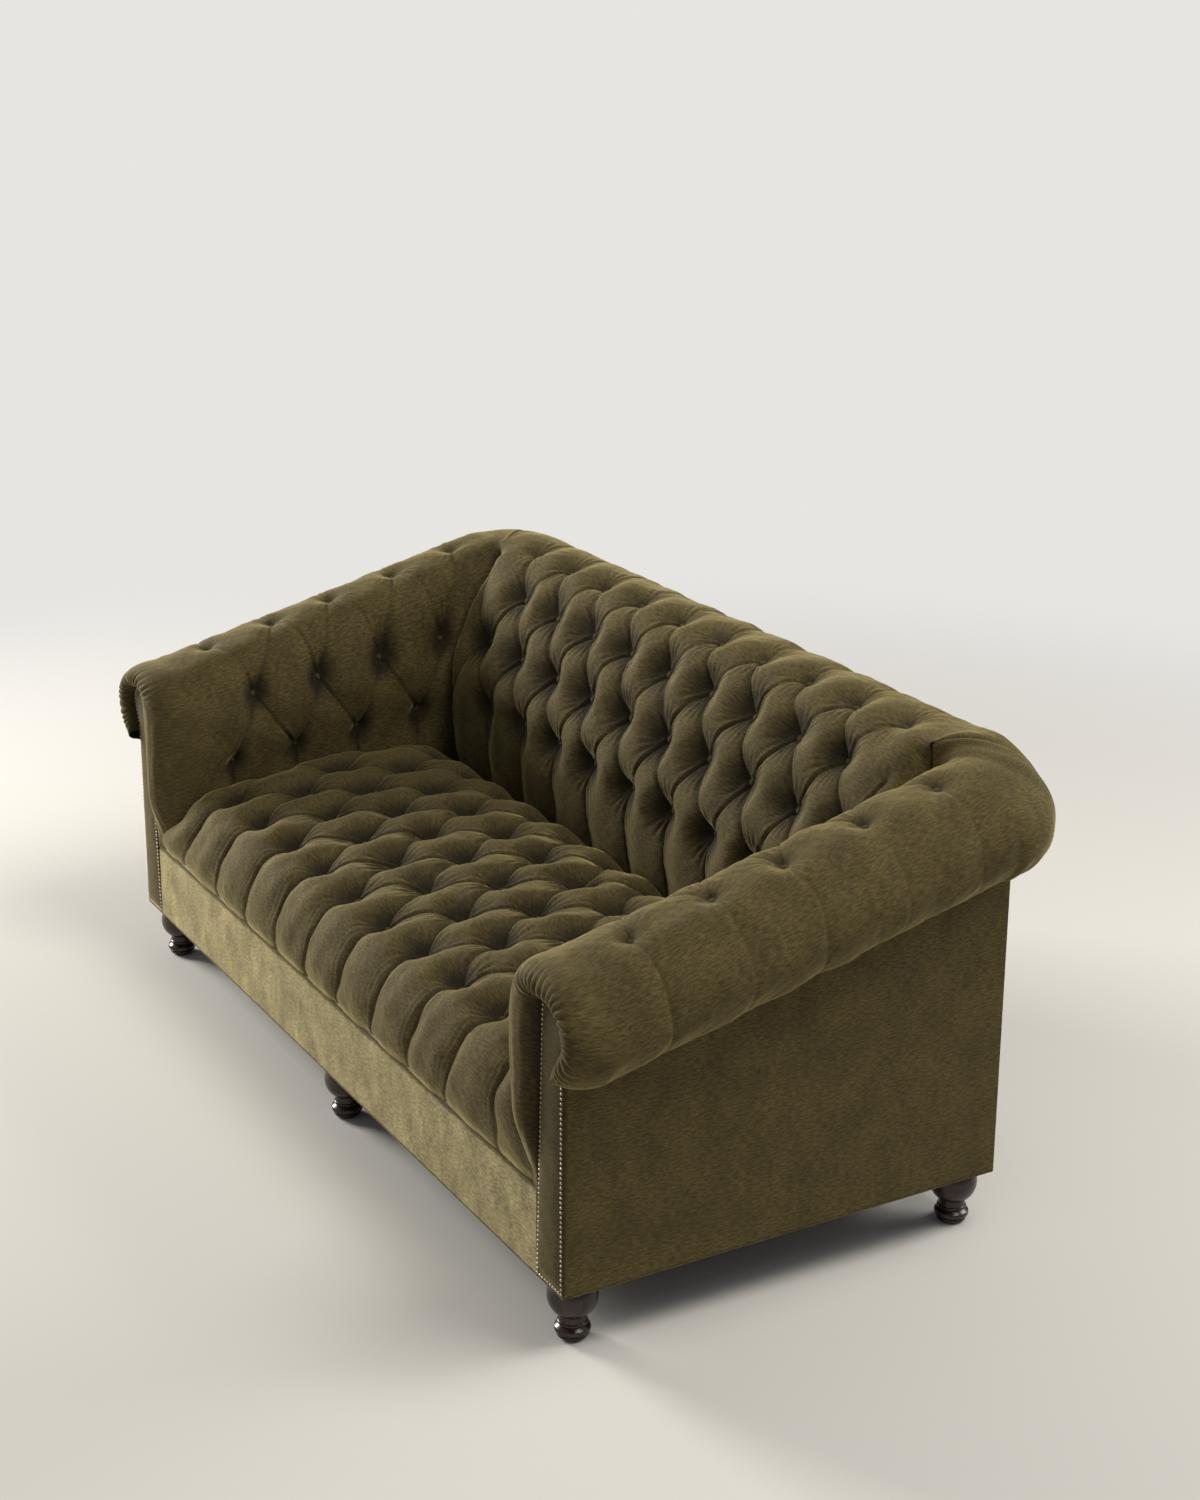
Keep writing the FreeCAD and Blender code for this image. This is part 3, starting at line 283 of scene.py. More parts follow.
def closedBelow(grid, uv, under):
    # adds the unseen underside as rows of (depth, height) and closes the loop and its ends
    rows, cols = grid.shape[:2]
    extra = []
    for y, z in under:
        row = grid[-1].copy()
        row[:, 1], row[:, 2] = y, z
        row[:, 0] = np.clip(row[:, 0], -underHalf, underHalf)
        extra.append(row)
    full = np.concatenate([grid, np.array(extra)])
    total = len(full)
    fullUv = np.concatenate([uv, np.repeat(uv[-1:], len(extra), axis=0)])
    faces = [gridFaces(total, cols)]
    index = np.arange(total * cols).reshape(total, cols)
    faces.append(np.stack([index[-1, :-1], index[-1, 1:], index[0, 1:], index[0, :-1]], axis=-1))
    points = full.reshape(-1, 3)
    ends = []
    for column, back in ((0, True), (cols - 1, False)):
        ring = index[:, column]
        middle = len(points) + len(ends)
        nxt = np.roll(ring, -1)
        fan = np.stack([np.full(total, middle), nxt, ring], axis=-1)
        faces.append(fan[:, ::-1] if back else fan)
        ends.append(points[ring].mean(axis=0))
    points = np.concatenate([points, np.array(ends)])
    flatUv = np.concatenate([fullUv.reshape(-1, 2), np.zeros((2, 2))])
    return points, faces, flatUv


def staggered(rows, tenAt):
    # where the buttons of each row stand on X: ten and nine by turns, half a pitch apart
    ten, nine = [(k + 0.5) * pitch for k in range(-5, 5)], [k * pitch for k in range(-4, 5)]
    return [ten if r % 2 == tenAt else nine for r in range(rows)]


def buildSeat():
    t, curve = throughPoints(seatPath, step)
    extent = seatEdge - seatRound + seatRound * math.pi / 2 + 40
    s = np.linspace(-extent, extent, int(2 * extent / step))
    x, drop = edgeProfile(s, seatEdge, seatRound)
    base = lateral(s, curve, x, drop[None, :] * (0.15 + 0.85 * smoothStep((t - 20) / 170))[:, None])
    widen = (1 - smoothStep((t - 8) / 115))[:, None] * (907 - seatEdge)
    widen = widen * smoothStep((np.abs(x) - 560) / 269)[None, :]
    base[..., 0] += np.sign(s)[None, :] * widen
    rowT = [nearestT(t, curve, point) for point in seatRows]
    buttons, folds = [], []
    columns = staggered(5, 0)
    rng = np.random.default_rng(5)
    for r, row in enumerate(columns):
        for bx in row:
            buttons.append((bx, rowT[r], 24 + rng.uniform(-1.5, 1.5)))
    for r in range(4):
        for bx in columns[r]:
            for other in columns[r + 1]:
                if abs(abs(bx - other) - pitch / 2) < 1:
                    folds.append({"a": (bx, rowT[r]), "b": (other, rowT[r + 1]),
                                  "turn": 1 if other > bx else -1})
    for bx in columns[0]:
        folds.append({"a": (bx, rowT[0]), "b": (bx, -10), "reach": 78, "wa": 1.0, "wb": 0.42, "sag": -0.05,
                      "pb": False, "turn": -1, "lip": 3.0, "bow": 6})
    for bx in columns[4]:
        folds.append({"a": (bx, rowT[4]), "b": (bx, t[-1] + 10), "reach": 78, "wa": 1.0, "wb": 0.5,
                      "pb": False})
    for side in (-1, 1):
        for r, other in ((0, 1), (2, 1), (2, 3), (4, 3)):
            folds.append({"a": (side * 4.5 * pitch, rowT[r]), "b": (side * 5 * pitch, rowT[other]), "wb": 0.7,
                          "pb": False, "turn": side})
        for r in (1, 3):
            folds.append({"a": (side * 5 * pitch, rowT[r]), "b": (side * (seatEdge + 60), rowT[r]), "wa": 0.7,
                          "wb": 0.6, "pa": False, "pb": False})
    field = tuftField(s, t, buttons, folds, seatLook)
    frontRun = (np.sin(math.pi * np.clip(t / rowT[0], 0, 1)) ** 1.4)[:, None]
    for bx in columns[0]:
        away = (s - bx)[None, :] + 4 * np.sin(t / 31 + bx)[:, None]
        field += 1.1 * frontRun * np.exp(-(away / 27) ** 2) * gathers(away / rng.uniform(10.5, 13.5))
    calm = smoothStep((np.abs(s) - 835) / 30)[None, :]
    field *= 1 - calm
    field *= (0.55 + 0.45 * smoothStep(t / 60))[:, None]
    normals = outwardNormals(base, len(t) // 2, len(s) // 2)
    grid = base + normals * field[..., None]
    markButtons(s, t, grid, normals, buttons, seatLook, buttonSink)
    uv = np.stack(np.meshgrid(s, t), axis=-1)
    points, faces, flatUv = closedBelow(grid, uv, [(700, 374), (46, 374), (46, 289)])
    return meshPiece("seatCover", points, faces, flatUv, shadeHeights=field.reshape(-1))


# Inside back
backLook = {
    "seed": 44, "drift": 3.5, "reach": 78, "power": 2.0, "valley": 19, "sag": 0.30, "bow": 7, "lip": 2.8,
    "crease": 4.6, "fan": 0.75, "pleatAngle": 0.27, "pleat": 2.4, "dimple": 38, "uneven": 2.0,
}
backPath = [
    (716, 392), (708, 430), (701, 470), (696, 530), (692, 592), (700, 655), (722, 718), (752, 790),
    (790, 858), (832, 905), (880, 930), (925, 936), (970, 930), (1016, 910), (1048, 880),
    (1066, 846), (1069, 812), (1055, 775), (1026, 746), (988, 729), (950, 723), (922, 724),
]
backRows = [((692, 594), 24), ((731, 732), 26), ((786, 856), 24), ((889, 932), 11)]
cornerX, cornerY = 829.0, 860.0
seamTurn = math.radians(34)
seamDepth, seamWidth = 11, 9.0
cornerGap = 5
cornerArc = 200


def fanPoint(turn, reach):
    # a point that far from the corner's upright line, turned from the back's run towards the arm's
    return cornerX + reach * np.sin(turn), cornerY + reach * np.cos(turn)


def buildBack():
    t, curve = throughPoints(backPath, step)
    flat, radius = 771.0, 58.0
    fan = 84.0
    extent = cornerX + fan
    s = np.linspace(-extent, extent, int(2 * extent / step))
    x, drop = edgeProfile(s, flat + radius, radius)
    tuck = lateral(s, curve, x, drop)
    turn = np.clip((np.abs(s) - cornerX) / fan, 0, 1) * seamTurn
    roll = lateral(s, curve, np.sign(s) * np.minimum(np.abs(s), cornerX), s * 0)
    reach = curve[:, 0:1] - cornerY
    beyond = np.broadcast_to(turn[None, :], roll.shape[:2]) > 0
    fx, fy = fanPoint(turn[None, :], reach)
    roll[..., 0] = np.where(beyond, np.sign(s)[None, :] * fx, roll[..., 0])
    roll[..., 1] = np.where(beyond, fy, roll[..., 1])
    rollStart, rollBlend = 836.0, 26.0
    mix = smoothStep((curve[:, 0] - rollStart) / rollBlend)
    mix[: np.argmax(curve[:, 0] > rollStart)] = 0
    base = tuck * (1 - mix)[:, None, None] + roll * mix[:, None, None]
    rowT = [nearestT(t, curve, point) for point, depth in backRows]
    columns = staggered(4, 1)
    rng = np.random.default_rng(6)
    buttons, folds = [], []
    for r, row in enumerate(columns):
        for bx in row:
            buttons.append((bx, rowT[r], backRows[r][1] + rng.uniform(-1.5, 1.5)))
    for r in range(3):
        for bx in columns[r]:
            for other in columns[r + 1]:
                if abs(abs(bx - other) - pitch / 2) < 1:
                    folds.append({"a": (bx, rowT[r]), "b": (other, rowT[r + 1]),
                                  "wb": 0.75 if r == 2 else 1.0, "turn": 1 if other > bx else -1})
    for bx in columns[0]:
        folds.append({"a": (bx, rowT[0]), "b": (bx, -10), "reach": 78, "wa": 1.0, "wb": 0.6, "sag": 0.0,
                      "pb": False, "lip": 3.0})
    for bx in columns[3]:
        folds.append({"a": (bx, rowT[3]), "b": (bx, t[-1] + 10), "reach": 55, "wa": 0.34, "wb": 0.1, "sag": 0,
                      "pb": False, "lip": 0.8, "bow": 2})
    for side in (-1, 1):
        for r, other in ((1, 0), (1, 2)):
            folds.append({"a": (side * 4.5 * pitch, rowT[r]), "b": (side * 5 * pitch, rowT[other]), "wb": 0.7,
                          "pb": False, "turn": side})
        folds.append({"a": (side * 5 * pitch, rowT[0]), "b": (side * 5 * pitch, -10), "wa": 0.7, "wb": 0.5,
                      "pa": False, "pb": False})
    field = tuftField(s, t, buttons, folds, backLook)
    seamDip = np.exp(-np.clip(extent - np.abs(s), 0, None) / seamWidth)[None, :] * mix[:, None]
    field = field - seamDepth * seamDip
    normals = outwardNormals(base, np.argmax(curve[:, 1]), len(s) // 2)
    grid = base + normals * field[..., None]
    markButtons(s, t, grid, normals, buttons, backLook, buttonSink)
    uv = np.stack(np.meshgrid(s, t), axis=-1)
    points, faces, flatUv = closedBelow(grid, uv, [(922, 745), (866, 780), (859, 700), (859, 392)])
    return meshPiece("backCover", points, faces, flatUv, shadeHeights=field.reshape(-1))


# Arms, whose cover runs on round the back corners
armLook = {
    "seed": 63, "drift": 2.5, "reach": 64, "power": 2.6, "valley": 12, "sag": 0.4, "bow": 4, "lip": 2.2,
    "crease": 4.0, "fan": 0.7, "pleatAngle": 0.27, "pleat": 1.6, "dimple": 24, "uneven": 1.6,
}
armPath = [
    (831, 286, 0), (831, 330, 0), (830, 390, 0.04), (827, 440, 0.09), (819, 485, 0.105),
    (814, 535, 0.106), (813, 585, 0.108), (817, 620, 0.122), (828, 650, 0.165), (848, 677, 0.21),
    (875, 694, 0.236), (908, 703, 0.243), (942, 706, 0.243), (978, 703, 0.243), (1014, 692, 0.243),
    (1048, 670, 0.243), (1076, 638, 0.243), (1089, 601, 0.243), (1086, 567, 0.243),
    (1070, 539, 0.243), (1045, 517, 0.243), (1018, 507, 0.243), (1000.6, 508, 0.243),
]
armInner = [
    (1001.2, 541), (1007, 560), (1022, 588), (1029, 615), (1018, 647), (985, 661), (935, 661),
    (922, 645), (918, 600), (914, 467), (912, 400), (911, 288),
]
facingEdge = [
    (911.5, 286), (913, 330), (915, 390), (917, 440), (918.5, 485), (920.5, 535), (922.5, 585),
    (924, 612), (926, 634), (929, 648), (936, 656.5), (948, 658), (960, 658), (972, 657.5),
    (990, 655), (1008, 648), (1020, 634), (1024, 618), (1021, 602), (1013, 588), (1005, 575),
    (1001, 562), (1000.6, 545),
]


def buildArm(sideName):
    side = sides[sideName]
    look = dict(armLook, seed=armLook["seed"] + (10 if side < 0 else 0))
    t, curve = throughPoints(armPath, step)
    edge = np.array(facingEdge)
    knots = np.array([nearestT(t, curve, point[:2]) for point in armPath])
    edgeX, edgeZ = np.interp(t, knots, edge[:, 0]), np.interp(t, knots, edge[:, 1])
    lipLength = 120.0
    start, end = 46.0, cornerY
    s = np.linspace(start - lipLength, end, int((end - start + lipLength) / step))
    rows, cols = len(t), len(s)
    base = np.zeros((rows, cols, 3))
    body = s >= start
    base[..., 0] = curve[:, 0:1]
    base[..., 1] = np.maximum(s, start)[None, :]
    base[..., 2] = curve[:, 1:2] + curve[:, 2:3] * base[..., 1]
    u = np.clip((s - (start - lipLength)) / lipLength, 0, 1)[None, :]
    b0, b1, b2, b3 = (1 - u) ** 3, 3 * u * (1 - u) ** 2, 3 * u ** 2 * (1 - u), u ** 3
    across = 0.03 * b1 + 1.0 * b2 + b3
    taper = smoothStep((curve[:, 1] - 284) / 150)[:, None]
    ahead = 1.0 * b0 - 40.0 * taper * b1 + (14.0 - 58.0 * taper) * b2 + start * b3
    startZ = curve[:, 1] + curve[:, 2] * start
    lipX = edgeX[:, None] + (curve[:, 0] - edgeX)[:, None] * across
    lipZ = edgeZ[:, None] + (startZ - edgeZ)[:, None] * across
    base[:, ~body, 0] = lipX[:, ~body]
    base[:, ~body, 1] = ahead[:, ~body]
    base[:, ~body, 2] = lipZ[:, ~body]
    spots = {
        "top": [(0.152, 0.731), (0.311, 0.762), (0.458, 0.804), (0.624, 0.850), (0.783, 0.898)],
        "two": [(0.221, 0.646), (0.381, 0.664), (0.541, 0.683), (0.701, 0.698)],
        "three": [(0.165, 0.484), (0.322, 0.499), (0.479, 0.525), (0.636, 0.534)],
    }
    rowT = {"top": nearestT(t, curve, (948, 706)), "two": nearestT(t, curve, (815, 622)),
            "three": nearestT(t, curve, (823, 468))}
    depths = {"top": 11.0, "two": 20.0, "three": 20.0}
    rng = np.random.default_rng(8 + side)
    buttons = [(y * 1000, rowT[name], depths[name] + rng.uniform(-1, 1))
               for name in spots for y, z in spots[name]]
    folds = []

    def zigzag(upper, lower, upperWeight):
        for y, z in spots[upper]:
            for y2, z2 in spots[lower]:
                if 25 < abs(y - y2) * 1000 < 110:
                    folds.append({"a": (y * 1000, rowT[upper]), "b": (y2 * 1000, rowT[lower]),
                                  "wa": upperWeight, "wb": 1.0, "turn": 1 if y2 > y else -1})

    zigzag("top", "two", 0.55)
    zigzag("two", "three", 1.0)
    for y, z in spots["three"]:
        folds.append({"a": (y * 1000, rowT["three"]), "b": (y * 1000, -10), "reach": 76, "wa": 1.0, "wb": 0.6,
                      "sag": 0, "pb": False, "lip": 2.4})
    for (y, z), strength in zip(spots["top"], (1.0, 0.35, 0.5, 0.25, 0.3)):
        folds.append({"a": (y * 1000, rowT["top"]), "b": (y * 1000 + 12, t[-1] + 10), "reach": 46,
                      "wa": 0.34 * strength + 0.06, "wb": 0.22 * strength, "sag": 0, "pb": False,
                      "lip": 1.2 * strength, "bow": 3})
    field = tuftField(s, t, buttons, folds, look)
    plainS, plainT = np.meshgrid(s, t)
    fade = smoothStep((s - 5) / 70)[None, :]
    field = field * fade
    headTop = smoothStep((t - rowT["two"] - 20) / 60)[:, None] * smoothStep((t[-1] - t - 10) / 60)[:, None]
    gather = np.sin(math.pi * np.clip(u, 0, 1)) ** 1.2 * np.exp(-((u - 0.38) / 0.30) ** 2)
    ripple = gathers((plainT + 9 * wobble(plainS, plainT, 80, look["seed"] + 5)) / 21.0)
    unevenness = 0.75 + 0.35 * wobble(np.zeros_like(plainS), plainT, 60, 9)
    field += gather * headTop * (3.3 * ripple - 1.0) * unevenness
    border = np.cos(2 * math.pi * (plainS + 5 * wobble(plainS, plainT, 120, 5)) / 21.0)
    field += (1 - headTop) * np.exp(-((u - 0.5) / 0.25) ** 2) * 0.5 * border
    normals = outwardNormals(base, np.argmax(curve[:, 1]), cols // 2)
    grid = base + normals * field[..., None]
    mirror = np.array([side, 1, 1])
    markButtons(s, t, grid * mirror, normals * mirror, buttons, look, buttonSink)

    # the corner is a fan of sections between the arm's profile and the back's
    tb, backCurve = throughPoints(backPath, step)
    topOfBack = int(np.argmax(backCurve[:, 0] > cornerY + 3))
    backPart = backCurve[topOfBack:]
    backAlong = (tb[topOfBack:] - tb[topOfBack]) / (tb[-1] - tb[topOfBack])
    firstRow = int(np.nonzero((curve[:, 0] > cornerX + cornerGap) & (t > rowT["two"]))[0][0])
    fraction = (t[firstRow:] - t[firstRow]) / (t[-1] - t[firstRow])
    armReach = curve[firstRow:, 0] - cornerX
    armHeight = curve[firstRow:, 1] + curve[firstRow:, 2] * cornerY
    backReach = np.interp(fraction, backAlong, backPart[:, 0]) - cornerY
    backHeight = np.interp(fraction, backAlong, backPart[:, 1])
    total = math.pi / 2 - seamTurn
    turns = np.linspace(0, total, int(total * 240 / step))
    w = smoothStep(turns / total)[None, :]
    spread = 1 + 0.07 * np.sin(math.pi * turns / total)[None, :]
    reach = (armReach[:, None] * (1 - w) + backReach[:, None] * w) * spread
    height = armHeight[:, None] * (1 - w) + backHeight[:, None] * w
    corner = np.stack([cornerX + reach * np.cos(turns), cornerY + reach * np.sin(turns), height], axis=-1)
    seam = np.exp(-(total - turns) * 170 / seamWidth)[None, :]
    under = smoothStep((fraction - 0.72) / 0.12)[:, None]
    pleats = np.exp(-((turns - total * 0.45) / 0.5) ** 2)[None, :] * under
    cornerT, cornerS = np.meshgrid(turns * cornerArc, t[firstRow:])
    tucks = 1 + np.cos(2 * math.pi * turns[None, :] * cornerArc / 34.0)
    cornerField = -seamDepth * seam - 3.0 * pleats * tucks
    joining = np.exp(-turns * cornerArc / 40)[None, :] * field[firstRow:, -1:]
    cornerField = cornerField + joining + (1 - np.exp(-turns * cornerArc / 40))[None, :] * 1.6 * wobble(
        cornerT, cornerS, 90, look["seed"] + 30)
    cornerNormals = outwardNormals(corner, np.argmax(armHeight), 0)
    cornerNormals[:, 0] = normals[firstRow:, -1]
    corner = corner + cornerNormals * cornerField[..., None]

    # one mesh: the arm, the corner welded to its last column, and the unseen inner wall
    uvArm = np.stack(np.meshgrid(s, t), axis=-1)
    cornerCols = len(turns) - 1
    cornerPoints = corner[:, 1:]
    points = np.concatenate([grid.reshape(-1, 3), cornerPoints.reshape(-1, 3)])
    armIndex = np.arange(rows * cols).reshape(rows, cols)
    cornerIndex = rows * cols + np.arange(len(fraction) * cornerCols).reshape(len(fraction), cornerCols)
    joined = np.concatenate([armIndex[firstRow:, -1:], cornerIndex], axis=1)
    corners = [joined[:-1, :-1], joined[:-1, 1:], joined[1:, 1:], joined[1:, :-1]]
    quads = np.stack(corners, axis=-1).reshape(-1, 4)
    cornerUv = np.stack(np.meshgrid(end + turns[1:] * cornerArc, t[firstRow:]), axis=-1)
    uv = np.concatenate([uvArm.reshape(-1, 2), cornerUv.reshape(-1, 2)])
    inner = np.array(armInner)
    wallS = np.array([2.0, 30.0, 400.0, end])
    wall = np.zeros((len(inner), len(wallS), 3))
    wall[..., 0] = inner[:, 0:1]
    wall[..., 1] = wallS[None, :]
    wall[..., 2] = inner[:, 1:2] + np.where(inner[:, 1:2] < 480, 0.05, 0.243) * wallS[None, :]
    wallFaces = gridFaces(len(inner), len(wallS), len(points))
    points = np.concatenate([points, wall.reshape(-1, 3)])
    uv = np.concatenate([uv, np.zeros((wall.shape[0] * wall.shape[1], 2))])
    points = points * mirror
    faces = [gridFaces(rows, cols), quads, wallFaces]
    # painted shade: the arm's lip is darkened towards the facing's edge, and all of the arm's painted shade
    # is strengthened by half
    edgeShade = np.where(body[None, :], 0, 15 * np.exp(-(u / 0.42) ** 2))
    shadeHeights = np.concatenate([(field - edgeShade).reshape(-1), cornerField[:, 1:].reshape(-1)])
    return meshPiece(sideName + "ArmCover", points, faces, uv, flip=side > 0, shadeHeights=shadeHeights * 1.5)


seatCover = buildSeat()
print("seat", len(seatCover.data.polygons))
backCover = buildBack()
print("back", len(backCover.data.polygons))
armCovers = {name: buildArm(name) for name in sides}
print("arms", len(armCovers["right"].data.polygons))


# Facings: a crowned panel on each arm's front, inside its row of nails
facingPanel = {
    "left": [(122.5, 908), (643.75, 928), (650, 930), (653.6, 934), (655.75, 940)],
    "right": [(122.5, 999.5), (561.75, 999.5), (576, 1008), (588.75, 1013.8), (604, 1020), (618.75, 1022.5),
              (632, 1018), (644.75, 1008.5), (652, 992), (655.75, 967.5)],
    "crown": 5.0, "thickness": 7.8, "rows": 150, "columns": 26,
}


def buildFacing(sideName):
    lowZ, highZ = facingPanel["left"][0][0], facingPanel["left"][-1][0]
    z = lowZ + (highZ - lowZ) * np.sin(np.linspace(0, math.pi / 2, facingPanel["rows"]))[:, None]
    u = np.sin(np.linspace(-math.pi / 2, math.pi / 2, facingPanel["columns"]))[None, :]
    xLeft = np.interp(z, *zip(*facingPanel["left"]))
    xRight = np.interp(z, *zip(*facingPanel["right"]))
    x = (xLeft + xRight) / 2 + (xRight - xLeft) / 2 * u
    rise = (1 - np.abs(u) ** 2.6) * smoothStep((z - lowZ) / 26) * smoothStep((highZ - z) / 40)
    y = 0.2 - facingPanel["crown"] * rise + 0.4 * wobble(x, z, 60, 71)
    front = np.stack([x, y, np.broadcast_to(z, x.shape)], axis=-1)
    back = front.copy()
    back[..., 1] = facingPanel["thickness"]
    rows, cols = x.shape
    index = np.arange(rows * cols).reshape(rows, cols)
    rim = np.concatenate([index[0, :-1], index[:-1, -1], index[-1, :0:-1], index[:0:-1, 0]])
    around = np.roll(rim, -1)
    walls = np.stack([rim, rim + rows * cols, around + rows * cols, around], axis=-1)
    points = np.concatenate([front.reshape(-1, 3), back.reshape(-1, 3)]) * np.array([sides[sideName], 1, 1])
    faces = [gridFaces(rows, cols), gridFaces(rows, cols, rows * cols)[:, ::-1], walls]
    return meshPiece(sideName + "FacingPad", points, faces, flip=sides[sideName] < 0)


facings = {name: buildFacing(name) for name in sides}

# Covered buttons, one small dome set on every spot by geometry nodes

def domeShape(name, rings, around):
    points = [(0, 0, rings[0][1])]
    for radius, height in rings[1:]:
        angles = [k * 2 * math.pi / around for k in range(around)]
        points += [(radius * math.cos(angle), radius * math.sin(angle), height) for angle in angles]
    faces = [(0, 1 + k, 1 + (k + 1) % around) for k in range(around)]
    for ring in range(len(rings) - 2):
        a = 1 + ring * around
        b = a + around
        faces += [(a + k, b + k, b + (k + 1) % around, a + (k + 1) % around) for k in range(around)]
    last = 1 + (len(rings) - 2) * around
    faces.append(tuple(last + k for k in reversed(range(around))))
    mesh = bpy.data.meshes.new(name)
    mesh.from_pydata([tuple(c * 0.001 for c in p) for p in points], [], faces)
    mesh.polygons.foreach_set("use_smooth", np.ones(len(mesh.polygons), dtype=bool))
    return bpy.data.objects.new(name, mesh)


def buttonShape():
    rings = [(0.0, 4.6), (3.2, 4.3), (5.8, 3.2), (7.6, 1.4), (8.0, -0.4), (7.2, -2.0)]
    return domeShape("buttonShape", rings, 12)


def scatterOnPoints(name, spots, shape, material):
    # spots are (place, direction); the nodes stand the shape on each one and give it the material
    mesh = bpy.data.meshes.new(name)
    places = toFrame(np.array([place for place, facing in spots]))
    mesh.from_pydata([tuple(p) for p in places], [], [])
    facing = mesh.attributes.new("facing", "FLOAT_VECTOR", "POINT")
    facing.data.foreach_set("vector", np.array([f for p, f in spots], dtype=np.float32).reshape(-1))
    holder = bpy.data.objects.new(name + "Spots", mesh)
    bpy.context.scene.collection.objects.link(holder)
    group = bpy.data.node_groups.new(name + "Scatter", "GeometryNodeTree")
    group.interface.new_socket("Spots", in_out="INPUT", socket_type="NodeSocketGeometry")
    group.interface.new_socket("Shape", in_out="INPUT", socket_type="NodeSocketObject")
    group.interface.new_socket("Pieces", in_out="OUTPUT", socket_type="NodeSocketGeometry")
    make, link = group.nodes.new, group.links.new
    source, out = make("NodeGroupInput"), make("NodeGroupOutput")
    info, stand = make("GeometryNodeObjectInfo"), make("GeometryNodeInstanceOnPoints")
    named = make("GeometryNodeInputNamedAttribute")
    named.data_type = "FLOAT_VECTOR"
    named.inputs["Name"].default_value = "facing"
    align = make("FunctionNodeAlignRotationToVector")
    align.axis = "Z"
    real, paint = make("GeometryNodeRealizeInstances"), make("GeometryNodeSetMaterial")
    paint.inputs["Material"].default_value = material
    link(source.outputs["Spots"], stand.inputs["Points"])
    link(source.outputs["Shape"], info.inputs["Object"])
    link(info.outputs["Geometry"], stand.inputs["Instance"])
    link(named.outputs["Attribute"], align.inputs["Vector"])
    link(align.outputs["Rotation"], stand.inputs["Rotation"])
    link(stand.outputs["Instances"], real.inputs["Geometry"])
    link(real.outputs["Geometry"], paint.inputs["Geometry"])
    link(paint.outputs["Geometry"], out.inputs["Pieces"])
    modifier = holder.modifiers.new("scatter", "NODES")
    modifier.node_group = group
    for item in group.interface.items_tree:
        if item.item_type == "SOCKET" and item.in_out == "INPUT" and item.name == "Shape":
            modifier[item.identifier] = shape
    bpy.context.view_layer.update()
    evaluated = holder.evaluated_get(bpy.context.evaluated_depsgraph_get())
    baked = bpy.data.meshes.new_from_object(evaluated)
    baked.name = name
    bpy.data.objects.remove(holder)
    piece = bpy.data.objects.new(name, baked)
    bpy.context.scene.collection.objects.link(piece)
    return piece


# Materials

def newMaterial(name):
    material = bpy.data.materials.new(name)
    material.use_nodes = True
    tree = material.node_tree
    return material, tree, tree.nodes["Principled BSDF"]


